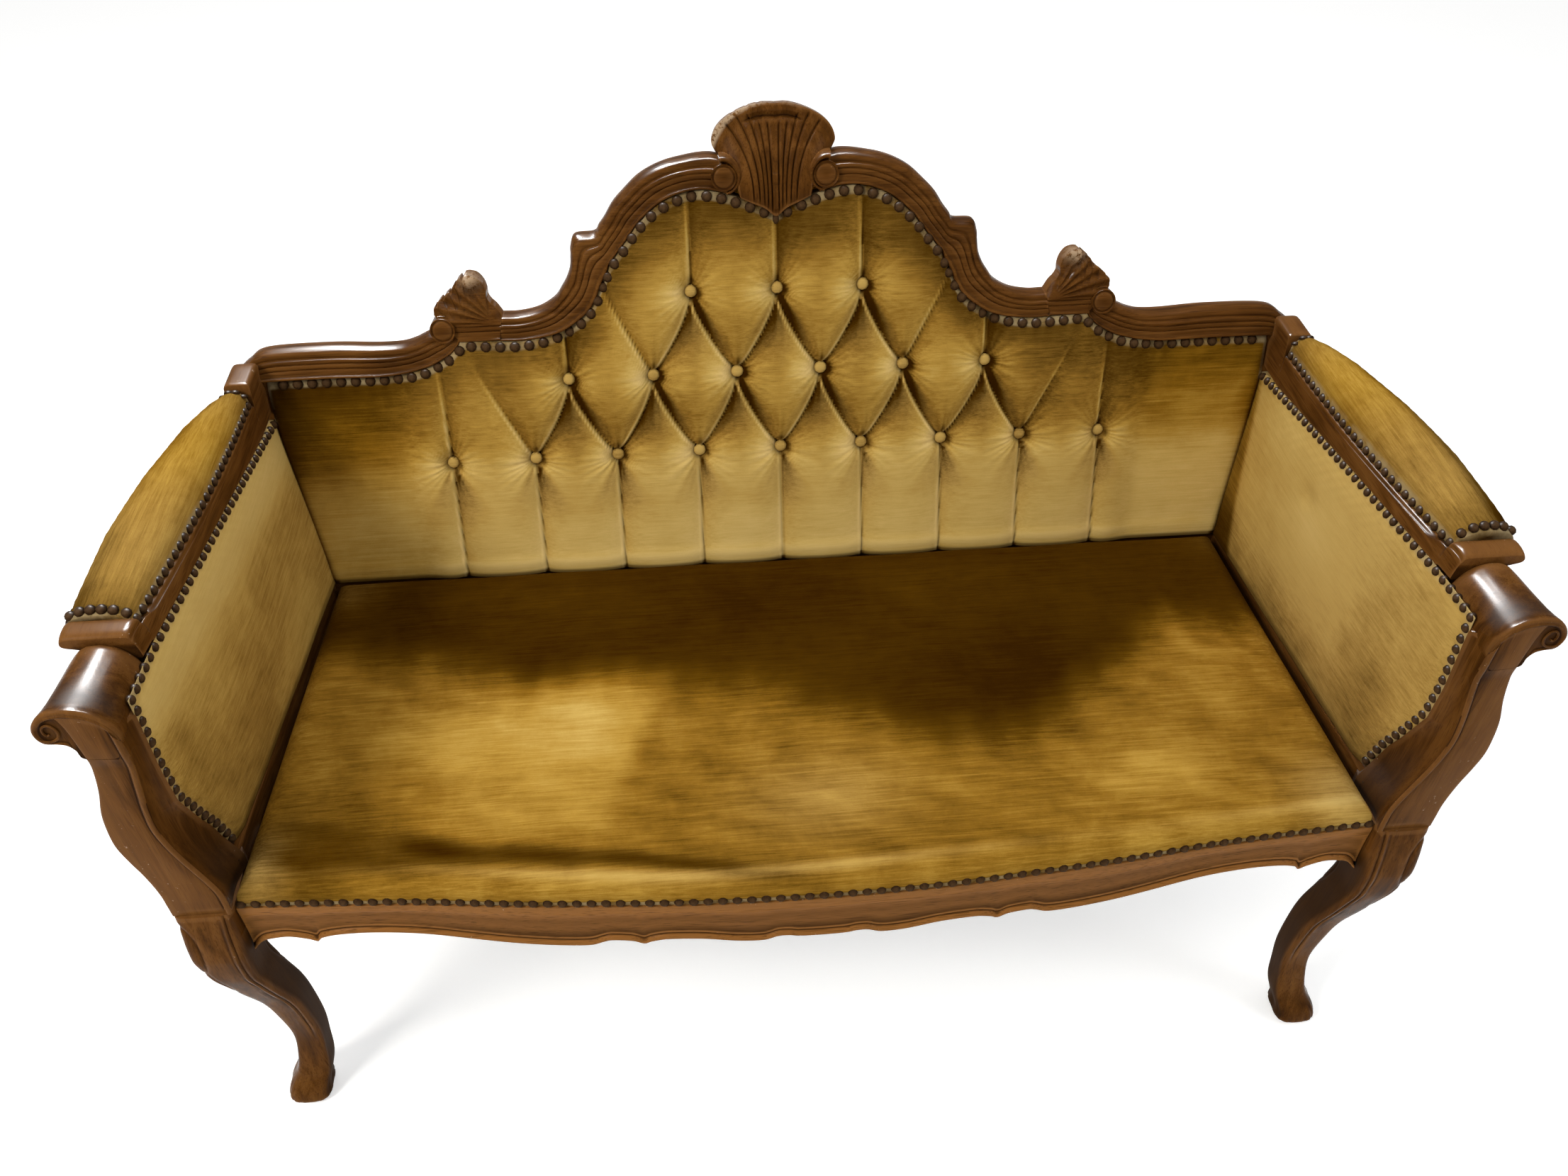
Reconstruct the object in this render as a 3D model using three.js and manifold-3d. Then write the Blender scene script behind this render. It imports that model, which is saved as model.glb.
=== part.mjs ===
// Carved cabriole sofa with a buttoned back, scrolled arms and serpentine front rail.
// Millimetres, +Z up, front towards -Y. Pieces are drawn with y = 0 where seat and back
// meet and z = 0 on the floor, and the whole is centred on its own bounding box at the end.
import * as THREE from "three";
import { mergeVertices } from "three/addons/utils/BufferGeometryUtils.js";
import Module from "manifold-3d";

const wasm = await Module();
wasm.setup();

// Main sizes
const seatHeight = 440;
const cushionDepth = 39;
const armRise = 272;
const backHalf = 600;
const crestRise = 500;
const backRake = THREE.MathUtils.degToRad(13.4);
const seatBackInset = 42;
const seatFrontInset = 14;
const seatSide = 450;
const seatBow = 39;
const clearance = 0.3;
const overrun = 5;
const weld = 0.001;
const seatBackHalf = backHalf - seatBackInset;
const seatFrontHalf = backHalf - seatFrontInset;

// Finishes
const walnut = { color: 0x6b4329, roughness: 0.38, metalness: 0 };
const plainWood = { color: 0x9a7650, roughness: 0.7, metalness: 0 };
const velvet = { color: 0xa07c2e, roughness: 0.95, metalness: 0 };
const buttonVelvet = { color: 0xc09a58, roughness: 0.9, metalness: 0 };
const webbingCloth = { color: 0x8c7650, roughness: 0.95, metalness: 0 };
const liningCloth = { color: 0x1f1c19, roughness: 1, metalness: 0 };

const sofa = new THREE.Group();
const mix = THREE.MathUtils.lerp;
const rakeCos = Math.cos(backRake);
const rakeTan = Math.tan(backRake);

// A point of the leaning back: x, height over the floor of the back's plane, and distance before it
function leaning(x, height, before) {
  const up = height - seatHeight;
  return new THREE.Vector3(
    x,
    up * rakeTan - before * rakeCos,
    seatHeight + up + before * Math.sin(backRake),
  );
}

// The same point from shares of the back's half width and of the crest's rise
const leaningShare = (pair, before) =>
  leaning(pair[0] * backHalf, seatHeight + pair[1] * crestRise, before);

// Depth of the leaning plane at a height, moved forward by a distance
const leaningDepth = (height, before) => (height - seatHeight) * rakeTan - before / rakeCos;

// Arch over a length: none at its ends and one in the middle
const arched = (share) => 4 * share * (1 - share);

// Value of a table of share pairs at a share of its first column
function along(rows, share, column) {
  const rising = rows[rows.length - 1][0] > rows[0][0];
  for (let i = 0; i + 1 < rows.length; i++) {
    const [a, b] = [rows[i], rows[i + 1]];
    if (rising ? share <= b[0] : share >= b[0])
      return mix(a[column], b[column], THREE.MathUtils.clamp((share - a[0]) / (b[0] - a[0]), 0, 1));
  }
  return rows[rows.length - 1][column];
}

// A smooth line through share pairs, cut into equal steps of its parameter
function smoothShares(pairsShares, steps) {
  const curve = new THREE.SplineCurve(pairsShares.map(([x, z]) => new THREE.Vector2(x, z)));
  return Array.from({ length: steps + 1 }, (_, i) => curve.getPoint(i / steps).toArray());
}

// Geometry from points and faces, turned so that it faces out
function solidFrom(points, faces) {
  let volume = 0;
  for (const [a, b, c] of faces)
    volume += points[a].dot(new THREE.Vector3().crossVectors(points[b], points[c]));
  const turned = volume < 0 ? faces.map(([a, b, c]) => [a, c, b]) : faces;
  const geometry = new THREE.BufferGeometry().setFromPoints(points);
  geometry.setIndex(turned.flat());
  return geometry;
}

// Solid through rings of equally many points; each end closes in a fan from its first point
function loft(rings) {
  const count = rings[0].length;
  const last = (rings.length - 1) * count;
  const faces = [];
  for (let r = 0; r + 1 < rings.length; r++)
    for (let p = 0; p < count; p++) {
      const a = r * count + p;
      const b = r * count + ((p + 1) % count);
      faces.push([a, b, b + count], [a, b + count, a + count]);
    }
  for (let p = 1; p + 1 < count; p++) faces.push([0, p + 1, p], [last, last + p, last + p + 1]);
  return solidFrom(rings.flat(), faces);
}

// Solid under a grid of points, closed by the same border moved by a rule and a fan from its middle
function gridSolid(grid, borderRule) {
  const [rows, columns] = [grid.length, grid[0].length];
  const points = grid.flat().map((p) => p.clone());
  const faces = [];
  for (let r = 0; r + 1 < rows; r++)
    for (let c = 0; c + 1 < columns; c++) {
      const a = r * columns + c;
      faces.push([a, a + 1, a + columns + 1], [a, a + columns + 1, a + columns]);
    }
  const border = [];
  for (let c = 0; c < columns; c++) border.push(c);
  for (let r = 1; r < rows; r++) border.push(r * columns + columns - 1);
  for (let c = columns - 2; c >= 0; c--) border.push((rows - 1) * columns + c);
  for (let r = rows - 2; r > 0; r--) border.push(r * columns);
  const start = points.length;
  const middle = new THREE.Vector3();
  for (const b of border) {
    const moved = borderRule(points[b].clone());
    points.push(moved);
    middle.addScaledVector(moved, 1 / border.length);
  }
  points.push(middle);
  for (let i = 0; i < border.length; i++) {
    const j = (i + 1) % border.length;
    faces.push([border[j], border[i], start + i], [border[j], start + i, start + j]);
    faces.push([start + j, start + i, points.length - 1]);
  }
  return solidFrom(points, faces);
}

// Ring of a rounded rectangle in a horizontal plane
function roundedRing(left, right, front, back, height, radius) {
  const corners = [
    [right - radius, back - radius, 0],
    [left + radius, back - radius, 1],
    [left + radius, front + radius, 2],
    [right - radius, front + radius, 3],
  ];
  const cornerSteps = 2;
  return corners.flatMap(([x, y, quarter]) =>
    Array.from({ length: cornerSteps + 1 }, (_, i) => {
      const turn = ((quarter + i / cornerSteps) * Math.PI) / 2;
      return new THREE.Vector3(x + radius * Math.cos(turn), y + radius * Math.sin(turn), height);
    }),
  );
}

// Box between two corners
function boxBetween(low, high) {
  const size = new THREE.Vector3().subVectors(high, low);
  const centre = new THREE.Vector3().addVectors(low, high).multiplyScalar(0.5);
  const box = new THREE.BoxGeometry(size.x, size.y, size.z);
  return box.translate(centre.x, centre.y, centre.z);
}

function toSolid(geometry) {
  const bare = geometry.clone();
  bare.deleteAttribute("normal");
  bare.deleteAttribute("uv");
  const merged = mergeVertices(bare, weld);
  return new wasm.Manifold(
    new wasm.Mesh({
      numProp: 3,
      vertProperties: merged.attributes.position.array,
      triVerts: new Uint32Array(merged.index.array),
    }),
  );
}

function fromSolid(solid) {
  const mesh = solid.getMesh();
  const geometry = new THREE.BufferGeometry();
  const positions = new Float32Array(mesh.vertProperties);
  geometry.setAttribute("position", new THREE.BufferAttribute(positions, 3));
  geometry.setIndex(new THREE.BufferAttribute(new Uint32Array(mesh.triVerts), 1));
  return geometry;
}

const joined = (a, b) => fromSolid(toSolid(a).add(toSolid(b)));
const common = (a, b) => fromSolid(toSolid(a).intersect(toSolid(b)));
const cut = (a, b) => fromSolid(toSolid(a).subtract(toSolid(b)));

// The same piece on the other side of the sofa
function mirrored(geometry) {
  const flipped = geometry.index ? geometry.clone() : mergeVertices(geometry, weld);
  flipped.scale(-1, 1, 1);
  const index = flipped.index.array;
  for (let i = 0; i < index.length; i += 3)
    [index[i + 1], index[i + 2]] = [index[i + 2], index[i + 1]];
  return flipped;
}

function add(name, geometry, finish) {
  geometry.computeVertexNormals();
  const mesh = new THREE.Mesh(geometry, new THREE.MeshStandardMaterial(finish));
  mesh.name = name;
  sofa.add(mesh);
}

function addPair(name, geometry, finish) {
  add(name + "_right", geometry, finish);
  add(name + "_left", mirrored(geometry), finish);
}

// Solid between two faces of the same outline, which the flat outline says how to close
function prismBetween(front, rear, flat) {
  const outline = flat.map(([x, z]) => new THREE.Vector2(x, z));
  const turning = Math.sign(THREE.ShapeUtils.area(outline));
  const count = flat.length;
  const all = [];
  for (const face of THREE.ShapeUtils.triangulateShape(outline, [])) {
    const same = Math.sign(THREE.ShapeUtils.area(face.map((i) => outline[i]))) === turning;
    const [a, b, c] = same ? face : [...face].reverse();
    all.push([a, b, c], [a + count, c + count, b + count]);
  }
  for (let i = 0; i < count; i++) {
    const j = (i + 1) % count;
    all.push([j, i, i + count], [j, i + count, j + count]);
  }
  return solidFrom([...front, ...rear], all);
}

// Block of a flat outline in the leaning back's plane, between two distances before the plane
function leaningPrism(outline, beforeFront, beforeRear) {
  const front = outline.map(([x, z]) => leaning(x, z, beforeFront));
  const rear = outline.map(([x, z]) => leaning(x, z, beforeRear));
  return prismBetween(front, rear, outline);
}

// Front leg: a cabriole cut from square stock, its corner bowed out at the knee and in at the ankle
const leg = {
  overRail: 4,
  outside: 8,
  setBack: 10,
  bow: 36,
  side: 58,
  edgeRadius: 8,
};
const railTop = seatHeight - cushionDepth;
const armBottom = railTop + leg.overRail;
const legTop = armBottom - clearance;
// Height, outward and forward reach of the corner, and side of the section
const legShares = [
  [0, 0.72, 0.72, 0.83],
  [0.02, 0.78, 0.78, 0.88],
  [0.055, 0.67, 0.67, 0.82],
  [0.11, 0.33, 0.33, 0.7],
  [0.19, 0.11, 0.11, 0.6],
  [0.29, 0, 0, 0.58],
  [0.42, 0.11, 0.11, 0.64],
  [0.51, 0.25, 0.25, 0.69],
  [0.6, 0.5, 0.5, 0.76],
  [0.67, 0.69, 0.69, 0.82],
  [0.735, 0.89, 0.87, 0.89],
  [0.81, 1.01, 0.98, 0.97],
  [0.85, 1.04, 1, 1],
  [0.93, 1.03, 0.94, 1],
  [1, 0.97, 0.72, 0.98],
];
const legCorner = (bowShare) => backHalf + leg.outside + leg.bow * bowShare;
const legFront = (bowShare) => leg.setBack - seatSide - leg.bow * bowShare;

function frontLeg() {
  return loft(
    legShares.map(([heightShare, outShare, forwardShare, sideShare]) => {
      const outer = legCorner(outShare);
      const front = legFront(forwardShare);
      const side = leg.side * sideShare;
      return roundedRing(outer - side, outer, front, front + side, legTop * heightShare, leg.edgeRadius);
    }),
  );
}

// Inner and rear faces of the leg's top block, which the rails butt against
const legTopShares = legShares[legShares.length - 1];
const legTopSide = leg.side * legTopShares[3];
const legInner = legCorner(legTopShares[1]) - legTopSide;
const legBack = legFront(legTopShares[2]) + legTopSide;

// Back post: one piece from the raked rear foot to the crest
const post = {
  setBack: 5,
  depth: 29,
  inset: 32,
  insetTop: 21,
  width: 38,
  legDepth: 36,
  footDepth: 31,
  footWidth: 32,
  footSet: 84,
  footSplay: 8,
  edgeRadius: 4,
};
const postInner = backHalf - post.inset;
const postInnerTop = backHalf - post.insetTop;
const wingBaseShare = 0.48;
const wingBaseHeight = seatHeight + wingBaseShare * crestRise;
const postLegShares = [
  [0, 1],
  [0.07, 0.86],
  [0.16, 0.68],
  [0.3, 0.42],
  [0.45, 0.2],
  [0.62, 0.05],
  [0.8, 0],
];

function backPost() {
  const rings = postLegShares.map(([heightShare, setShare]) => {
    const front = post.setBack + post.footSet * setShare;
    const inner = postInner + post.footSplay * setShare;
    const depth = mix(post.legDepth, post.footDepth, setShare);
    const width = mix(post.width, post.footWidth, setShare);
    const height = seatHeight * heightShare;
    return roundedRing(inner, inner + width, front, front + depth, height, post.edgeRadius);
  });
  const span = wingBaseHeight - clearance - seatHeight;
  for (const heightShare of [0, 1]) {
    const inner = mix(postInner, postInnerTop, heightShare);
    const rear = post.setBack + post.depth;
    const flat = roundedRing(inner, inner + post.width, post.setBack, rear, 0, post.edgeRadius);
    rings.push(flat.map((p) => leaning(p.x, seatHeight + span * heightShare, -p.y)));
  }
  return loft(rings);
}

// Seat rails
const rail = {
  thickness: 28,
  width: 56,
  sideUnderSeat: 16,
  rearDepth: 30,
  beadOut: 3.5,
  beadHeight: 8,
  beadTopShare: 0.7,
  beadFootShare: 0.2,
  proud: 2,
  scallop: 20,
  outsideBack: 7,
  outsideFront: 19,
};
const railBottom = railTop - rail.width;
const railSideTop = seatHeight - rail.sideUnderSeat;

// Plan of the serpentine front, as a share of the bow at a share of the half width
const bowShares = [
  [0, 1],
  [0.14, 0.97],
  [0.26, 0.9],
  [0.37, 0.77],
  [0.49, 0.64],
  [0.6, 0.47],
  [0.68, 0.31],
  [0.84, 0.15],
  [0.92, 0.08],
  [1, 0],
];
const frontDepth = (x) => -seatSide - seatBow * along(bowShares, Math.abs(x) / seatFrontHalf, 1);

// Lower edge of the front rail: how far it hangs under its highest line, as a share of the scallop
const scallopShares = [
  [0, 0.85],
  [0.04, 0.82],
  [0.06, 0.7],
  [0.08, 0.72],
  [0.105, 1],
  [0.15, 0.95],
  [0.21, 0.62],
  [0.27, 0.56],
  [0.3, 0.75],
  [0.315, 0.95],
  [0.335, 0.7],
  [0.37, 0.62],
  [0.385, 0.75],
  [0.41, 1.05],
  [0.46, 1.05],
  [0.53, 0.88],
  [0.61, 0.55],
  [0.7, 0.15],
  [0.78, 0],
  [0.84, 0.12],
  [0.875, 0.4],
  [0.885, 0.72],
  [0.9, 0.5],
  [0.93, 0.25],
  [0.96, 0.3],
  [0.98, 0.8],
  [1, 1.9],
];

function frontRail() {
  const half = legInner - clearance;
  const highest = railBottom + rail.scallop / 2;
  const right = scallopShares.map(([xShare, hangShare]) => [xShare * half, hangShare * rail.scallop]);
  const left = right.slice(1).map(([x, hang]) => [-x, hang]);
  const stations = left.reverse().concat(right);
  return loft(
    stations.map(([x, hang]) => {
      const front = frontDepth(x) - rail.proud;
      const back = front + rail.thickness;
      const low = highest - hang;
      const section = [
        [back, railTop],
        [front, railTop],
        [front, low + rail.beadHeight],
        [front - rail.beadOut, low + rail.beadHeight * rail.beadTopShare],
        [front - rail.beadOut, low + rail.beadHeight * rail.beadFootShare],
        [front, low],
        [back, low],
      ];
      return section.map(([y, z]) => new THREE.Vector3(x, y, z));
    }),
  );
}

// Inner and outer lines of the side rails at a depth
const sideShare = (y) => THREE.MathUtils.clamp(-y / seatSide, 0, 1);
const sideInner = (y) => mix(seatBackHalf, seatFrontHalf, sideShare(y)) + overrun;
const sideOuter = (y) => backHalf + mix(rail.outsideBack, rail.outsideFront, sideShare(y));

function sideRail() {
  const front = legBack + clearance;
  const back = post.setBack - clearance;
  const ring = (y) => {
    const [inner, outer] = [sideInner(y), sideOuter(y)];
    return [
      [inner, railBottom],
      [outer, railBottom],
      [outer, railSideTop],
      [inner, railSideTop],
    ].map(([x, z]) => new THREE.Vector3(x, y, z));
  };
  return loft([ring(front), ring(back)]);
}

function rearRail() {
  const half = postInner - clearance;
  return boxBetween(
    new THREE.Vector3(-half, post.setBack, railBottom),
    new THREE.Vector3(half, post.setBack + rail.rearDepth, railSideTop),
  );
}

// Inside the seat frame: webbing over corner blocks and a middle brace, lining below
const frame = {
  webbing: 3,
  lining: 1.5,
  liningLift: 6,
  block: 62,
  blockHeight: 34,
  brace: 45,
  braceHeight: 32,
};
const webbingTop = railTop - clearance;
const blockTop = webbingTop - frame.webbing - clearance;

// Outline inside the rails: from the rear corner along the side to the front and across
const insideFrontShares = [0.9, 0.7, 0.5, 0.3, 0.1];

function insideOutline(gap) {
  const back = post.setBack - gap;
  const legSide = Math.min(sideInner(legBack), legInner) - gap;
  const besideLeg = legInner - gap - leg.side / 2;
  const side = [
    [sideInner(back) - gap, back],
    [legSide, legBack + gap],
    [besideLeg, legBack + gap],
  ];
  for (const share of insideFrontShares) {
    const x = share * besideLeg;
    side.push([x, frontDepth(x) - rail.proud + rail.thickness + gap + frame.lining]);
  }
  return side;
}

function sheetInside(top, thickness, gap) {
  const half = insideOutline(gap);
  const left = half.map(([x, y]) => [-x, y]).reverse();
  const outline = half.concat(left).map(([x, y]) => new THREE.Vector2(x, y));
  const options = { depth: thickness, bevelEnabled: false };
  const sheet = new THREE.ExtrudeGeometry(new THREE.Shape(outline), options);
  return sheet.translate(0, 0, top - thickness);
}

// Three-cornered glue block in a corner of the frame
function cornerBlock(cornerX, cornerY, into) {
  const outline = [
    [cornerX, cornerY],
    [cornerX - frame.block, cornerY],
    [cornerX, cornerY + into * frame.block],
  ];
  const shape = new THREE.Shape(outline.map(([x, y]) => new THREE.Vector2(x, y)));
  const block = new THREE.ExtrudeGeometry(shape, { depth: frame.blockHeight, bevelEnabled: false });
  return block.translate(0, 0, blockTop - frame.blockHeight);
}

function seatBrace() {
  const front = frontDepth(frame.brace / 2) - rail.proud + rail.thickness + clearance;
  return boxBetween(
    new THREE.Vector3(-frame.brace / 2, front, blockTop - frame.braceHeight),
    new THREE.Vector3(frame.brace / 2, post.setBack - clearance, blockTop),
  );
}
const frontBlockX = legInner - frame.lining;
const rearBlockX = sideInner(0) - clearance;

// Seat pad: serpentine front, crowned top and drawn-in edges
const seat = {
  sideGap: 4,
  crown: 9,
  edgeDrop: 7,
  edgeBand: 34,
  edgeFall: 20,
  crowdShare: 0.9,
  rows: 12,
  columns: 34,
};

function seatPad() {
  const bottom = railTop + clearance;
  const seatBack = leaningDepth(railSideTop, tuft.puff) - clearance;
  const halfAt = (y) => sideInner(y) - overrun - seat.sideGap;
  const rounded = (distance) => Math.sqrt(1 - (1 - Math.min(distance / seat.edgeBand, 1)) ** 2);
  const crowd = (seat.crowdShare * Math.PI) / 2;
  const grid = [];
  for (let r = 0; r <= seat.rows; r++) {
    const depthShare = (1 - Math.cos((r / seat.rows) * Math.PI)) / 2;
    const row = [];
    for (let c = 0; c <= seat.columns; c++) {
      const across = Math.sin(((c / seat.columns) * 2 - 1) * crowd) / Math.sin(crowd);
      const front = frontDepth(across * seatFrontHalf);
      const y = mix(front, seatBack, depthShare);
      const fromSide = (1 - Math.abs(across)) * halfAt(y);
      const edge = Math.min(rounded(y - front), rounded(fromSide));
      const crown = seat.crown * Math.sin(Math.PI * depthShare) * (1 - across ** 4);
      const z = seatHeight - seat.edgeDrop + crown - (1 - edge) * seat.edgeFall;
      row.push(new THREE.Vector3(across * halfAt(y), y, z));
    }
    grid.push(row);
  }
  return gridSolid(grid, (p) => p.setZ(bottom));
}

// Arm front: an S-shaped console that ends in an outward scroll
const arm = {
  inset: 10,
  faceWidth: 80,
  forward: 10,
  rollDepth: 84,
  rollNarrow: 9,
  rollDrop: 5,
  padGap: 1.5,
  hollow: 5,
};
const supportInner = backHalf - arm.inset;
const supportFront = seatSide + arm.forward;
const rollBack = supportFront - arm.rollDepth;
const armTopHeight = seatHeight + armRise;
const armFaceHeight = armTopHeight - armBottom;
// Inner and outer reach of the support over its height, below the roll
const armSideShares = [
  [0, 0.04, 0.69],
  [0.06, 0, 0.69],
  [0.13, -0.01, 0.7],
  [0.225, 0.09, 0.765],
  [0.3, 0.18, 0.83],
  [0.375, 0.25, 0.875],
  [0.456, 0.29, 0.86],
  [0.54, 0.27, 0.81],
  [0.635, 0.22, 0.705],
  [0.717, 0.17, 0.64],
  [0.79, 0.14, 0.605],
  [0.868, 0.135, 0.605],
];
const armSideSteps = 20;
const rollShares = [
  [0.125, 0.852],
  [0.175, 0.925],
  [0.275, 0.967],
  [0.41, 0.99],
  [0.59, 1],
  [0.775, 0.993],
  [0.91, 0.964],
  [0.985, 0.928],
  [0.97, 0.893],
  [0.87, 0.866],
  [0.735, 0.857],
  [0.64, 0.835],
];
const hollowShares = [1 / 4, 1 / 2, 3 / 4];

function armPoint([acrossShare, heightShare]) {
  return new THREE.Vector2(
    supportInner + arm.faceWidth * acrossShare,
    armBottom + armFaceHeight * heightShare,
  );
}

// Section of the support at a height: square outside, hollowed on the inner side back to the pad
function armSection([height, inner], outer) {
  const z = armBottom + armFaceHeight * height;
  const up = (z - armPadBottom) / (padTopFront - armPadBottom);
  const padEdge = -padFront * along(armPadFrontShares, up, 1) - arm.padGap;
  const beside = padOuter + clearance;
  const lip = new THREE.Vector2(supportInner + arm.faceWidth * inner, -supportFront);
  const foot = new THREE.Vector2(padFrontInner + armPad.edgeSet, padEdge);
  const run = lip.clone().sub(foot);
  const across = new THREE.Vector2(-run.y, run.x).normalize();
  const hollow = hollowShares.map((share) =>
    foot.clone().addScaledVector(run, share).addScaledVector(across, arm.hollow * arched(share)),
  );
  const outerX = supportInner + arm.faceWidth * outer;
  const plan = [
    lip,
    new THREE.Vector2(outerX, -supportFront),
    new THREE.Vector2(outerX, -rollBack),
    new THREE.Vector2(beside, -rollBack),
    new THREE.Vector2(beside, padEdge),
    foot,
    ...hollow,
  ];
  return plan.map(({ x, y }) => new THREE.Vector3(x, y, z));
}

// Upright outline carried from a front to a back depth, the rear one narrowed and lowered
function prismAlongY(outline, front, back, narrow, drop) {
  const inner = Math.min(...outline.map((p) => p.x));
  const width = Math.max(...outline.map((p) => p.x)) - inner;
  const ahead = outline.map((p) => new THREE.Vector3(p.x, front, p.y));
  const behind = outline.map(
    (p) => new THREE.Vector3(p.x - narrow * ((p.x - inner) / width), back, p.y - drop),
  );
  return prismBetween(ahead, behind, outline.map((p) => p.toArray()));
}

function armSupport() {
  const inner = smoothShares(armSideShares.map(([z, x]) => [z, x]), armSideSteps);
  const outer = smoothShares(armSideShares.map(([z, , x]) => [z, x]), armSideSteps);
  const sides = loft(inner.map((pair, i) => armSection(pair, outer[i][1])));
  const overRail = boxBetween(
    new THREE.Vector3(supportInner - arm.faceWidth, legBack, 0),
    new THREE.Vector3(supportInner + arm.faceWidth, 0, railSideTop + clearance),
  );
  const rollCurve = new THREE.SplineCurve(rollShares.map(armPoint));
  const outline = rollCurve.getPoints(rollShares.length * 2);
  const roll = prismAlongY(outline, -supportFront, -rollBack, arm.rollNarrow, arm.rollDrop);
  return joined(cut(sides, overRail), roll);
}

// Inside arm pad: its top follows a shallow rise towards the front
const armPad = {
  dropFront: 26,
  underWing: 45,
  topBulge: 13,
  setBack: 22,
  outerInset: 0.6,
  frontInset: 10,
  backTopInset: 14,
  frontTopInset: 2,
  crown: 6,
  edgeBand: 30,
  edgeSet: 7,
  rows: 8,
  columns: 14,
};
const armPadBottom = railSideTop + clearance;
const padTopFront = armTopHeight - armPad.dropFront;
const padTopBack = wingBaseHeight - armPad.underWing;
const padFront = seatSide - armPad.setBack;
const padOuter = backHalf - armPad.outerInset;
const padFrontInner = backHalf - armPad.frontInset;
const padBackTopInner = backHalf - armPad.backTopInset;
const postFront = (height) => leaningDepth(height, -post.setBack) - clearance;
const armPadTop = (y) => {
  const share = (y + padFront) / (padFront + postFront(padTopBack));
  return mix(padTopFront, padTopBack, share) + armPad.topBulge * arched(share);
};

// Front edge of the inside arm pad: forward reach as a share of its greatest, over its height
const armPadFrontShares = [
  [0, 0.915],
  [0.08, 0.925],
  [0.2, 0.945],
  [0.29, 0.968],
  [0.5, 1.012],
  [0.67, 1.015],
  [0.88, 1.005],
  [1, 1],
];

function insideArmPad() {
  const grid = [];
  const height = padTopFront - armPadBottom;
  for (let r = 0; r <= armPad.rows; r++) {
    const up = r / armPad.rows;
    const row = [];
    const frontY = -padFront * along(armPadFrontShares, up, 1);
    const backZ = mix(armPadBottom, padTopBack, up);
    const backY = postFront(backZ);
    for (let c = 0; c <= armPad.columns; c++) {
      const share = c / armPad.columns;
      const y = mix(frontY, backY, share);
      const bulge = armPad.topBulge * arched(share) * up;
      const z = mix(armPadBottom + height * up, backZ, share) + bulge;
      const low = mix(padFrontInner, seatBackHalf, share);
      const high = mix(backHalf - armPad.frontTopInset, padBackTopInner, share);
      const edgeDistance = Math.min(share * padFront, (1 - up) * height, (up + share) * height);
      const soft = Math.min(edgeDistance / armPad.edgeBand, 1);
      const crownShare = Math.sin(Math.PI * up) * Math.sin(Math.PI * share);
      const drawnIn = armPad.edgeSet * (1 - soft) ** 2 * (1 - share);
      const inner = mix(low, high, up) - armPad.crown * crownShare + drawnIn;
      row.push(new THREE.Vector3(Math.min(inner, padOuter - clearance), y, z));
    }
    grid.push(row);
  }
  return gridSolid(grid, (p) => p.setX(padOuter));
}

// Arm rail: leaning inner shoulder, a raised block at each end and a seat for the pad between
const armRail = {
  seatOverWing: 2,
  seatDropFront: 11,
  blockOverWing: 30,
  blockRiseFront: 6,
  blockBackStart: 14,
  blockLength: 24,
  outsideBack: 16,
  rollReachShare: 0.975,
  shoulderInsetBack: 6,
  shoulderOutFront: 17,
  insetBack: 12,
  edge: 5,
};

// Plan of the arm: outer and inner edges as shares of their rear-to-front change, over the length
const armPlanShares = [
  [0, 0, 0],
  [0.07, 0.3, 0.04],
  [0.18, 0.58, 0.12],
  [0.4, 0.86, 0.34],
  [0.64, 1.02, 0.62],
  [0.85, 1, 0.86],
  [1, 0.96, 1],
];
const armStart = armRail.blockBackStart;
const armEnd = -rollBack + clearance;
const armBlockStart = rollBack - armRail.blockLength;
const planShare = (y) => THREE.MathUtils.clamp((y - armStart) / (armEnd - armStart), 0, 1);
const armOutFront = arm.faceWidth * armRail.rollReachShare - arm.inset;
const planned = (y, column) => along(armPlanShares, planShare(y), column);
const armOuter = (y) => backHalf + mix(armRail.outsideBack, armOutFront, planned(y, 1));
const armShoulder = (y) =>
  backHalf + mix(-armRail.shoulderInsetBack, armRail.shoulderOutFront, planned(y, 2));
const armInner = (y) => backHalf - armRail.insetBack * (1 - planShare(y));
const armSeatBack = wingBaseHeight + armRail.seatOverWing;
const armSeatFront = armTopHeight - armRail.seatDropFront;
const armSeat = (y) => mix(armSeatBack, armSeatFront, planShare(y));
const blockBackTop = wingBaseHeight + armRail.blockOverWing;
const blockFrontTop = armTopHeight + armRail.blockRiseFront;
// Shares of the rail's height and of its step from inner edge to shoulder
const armLipShare = 0.4;
const armSlopeShares = [0.6, 0.8];
const armSideShare = 0.5;
const armPadSeatShares = [0, 0.06, 0.16, 0.3, 0.45, 0.6, 0.75, 0.9, 1];

function armRing(y, top, blockEdge) {
  const bottom = armPadTop(y) + clearance;
  const [inner, outer] = [armInner(y), armOuter(y)];
  const shoulder = Math.min(armShoulder(y), outer - blockEdge - armRail.edge);
  return [
    [inner, bottom],
    [inner + armRail.edge / 2, mix(bottom, top, armLipShare)],
    [mix(inner, shoulder, armSlopeShares[0]), mix(bottom, top, armSlopeShares[1])],
    [shoulder - blockEdge, top],
    [outer - blockEdge, top],
    [outer, top - armRail.edge],
    [outer, mix(bottom, top, armSideShare)],
    [outer - armRail.edge, bottom],
  ].map(([x, z]) => new THREE.Vector3(x, y, z));
}

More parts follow.
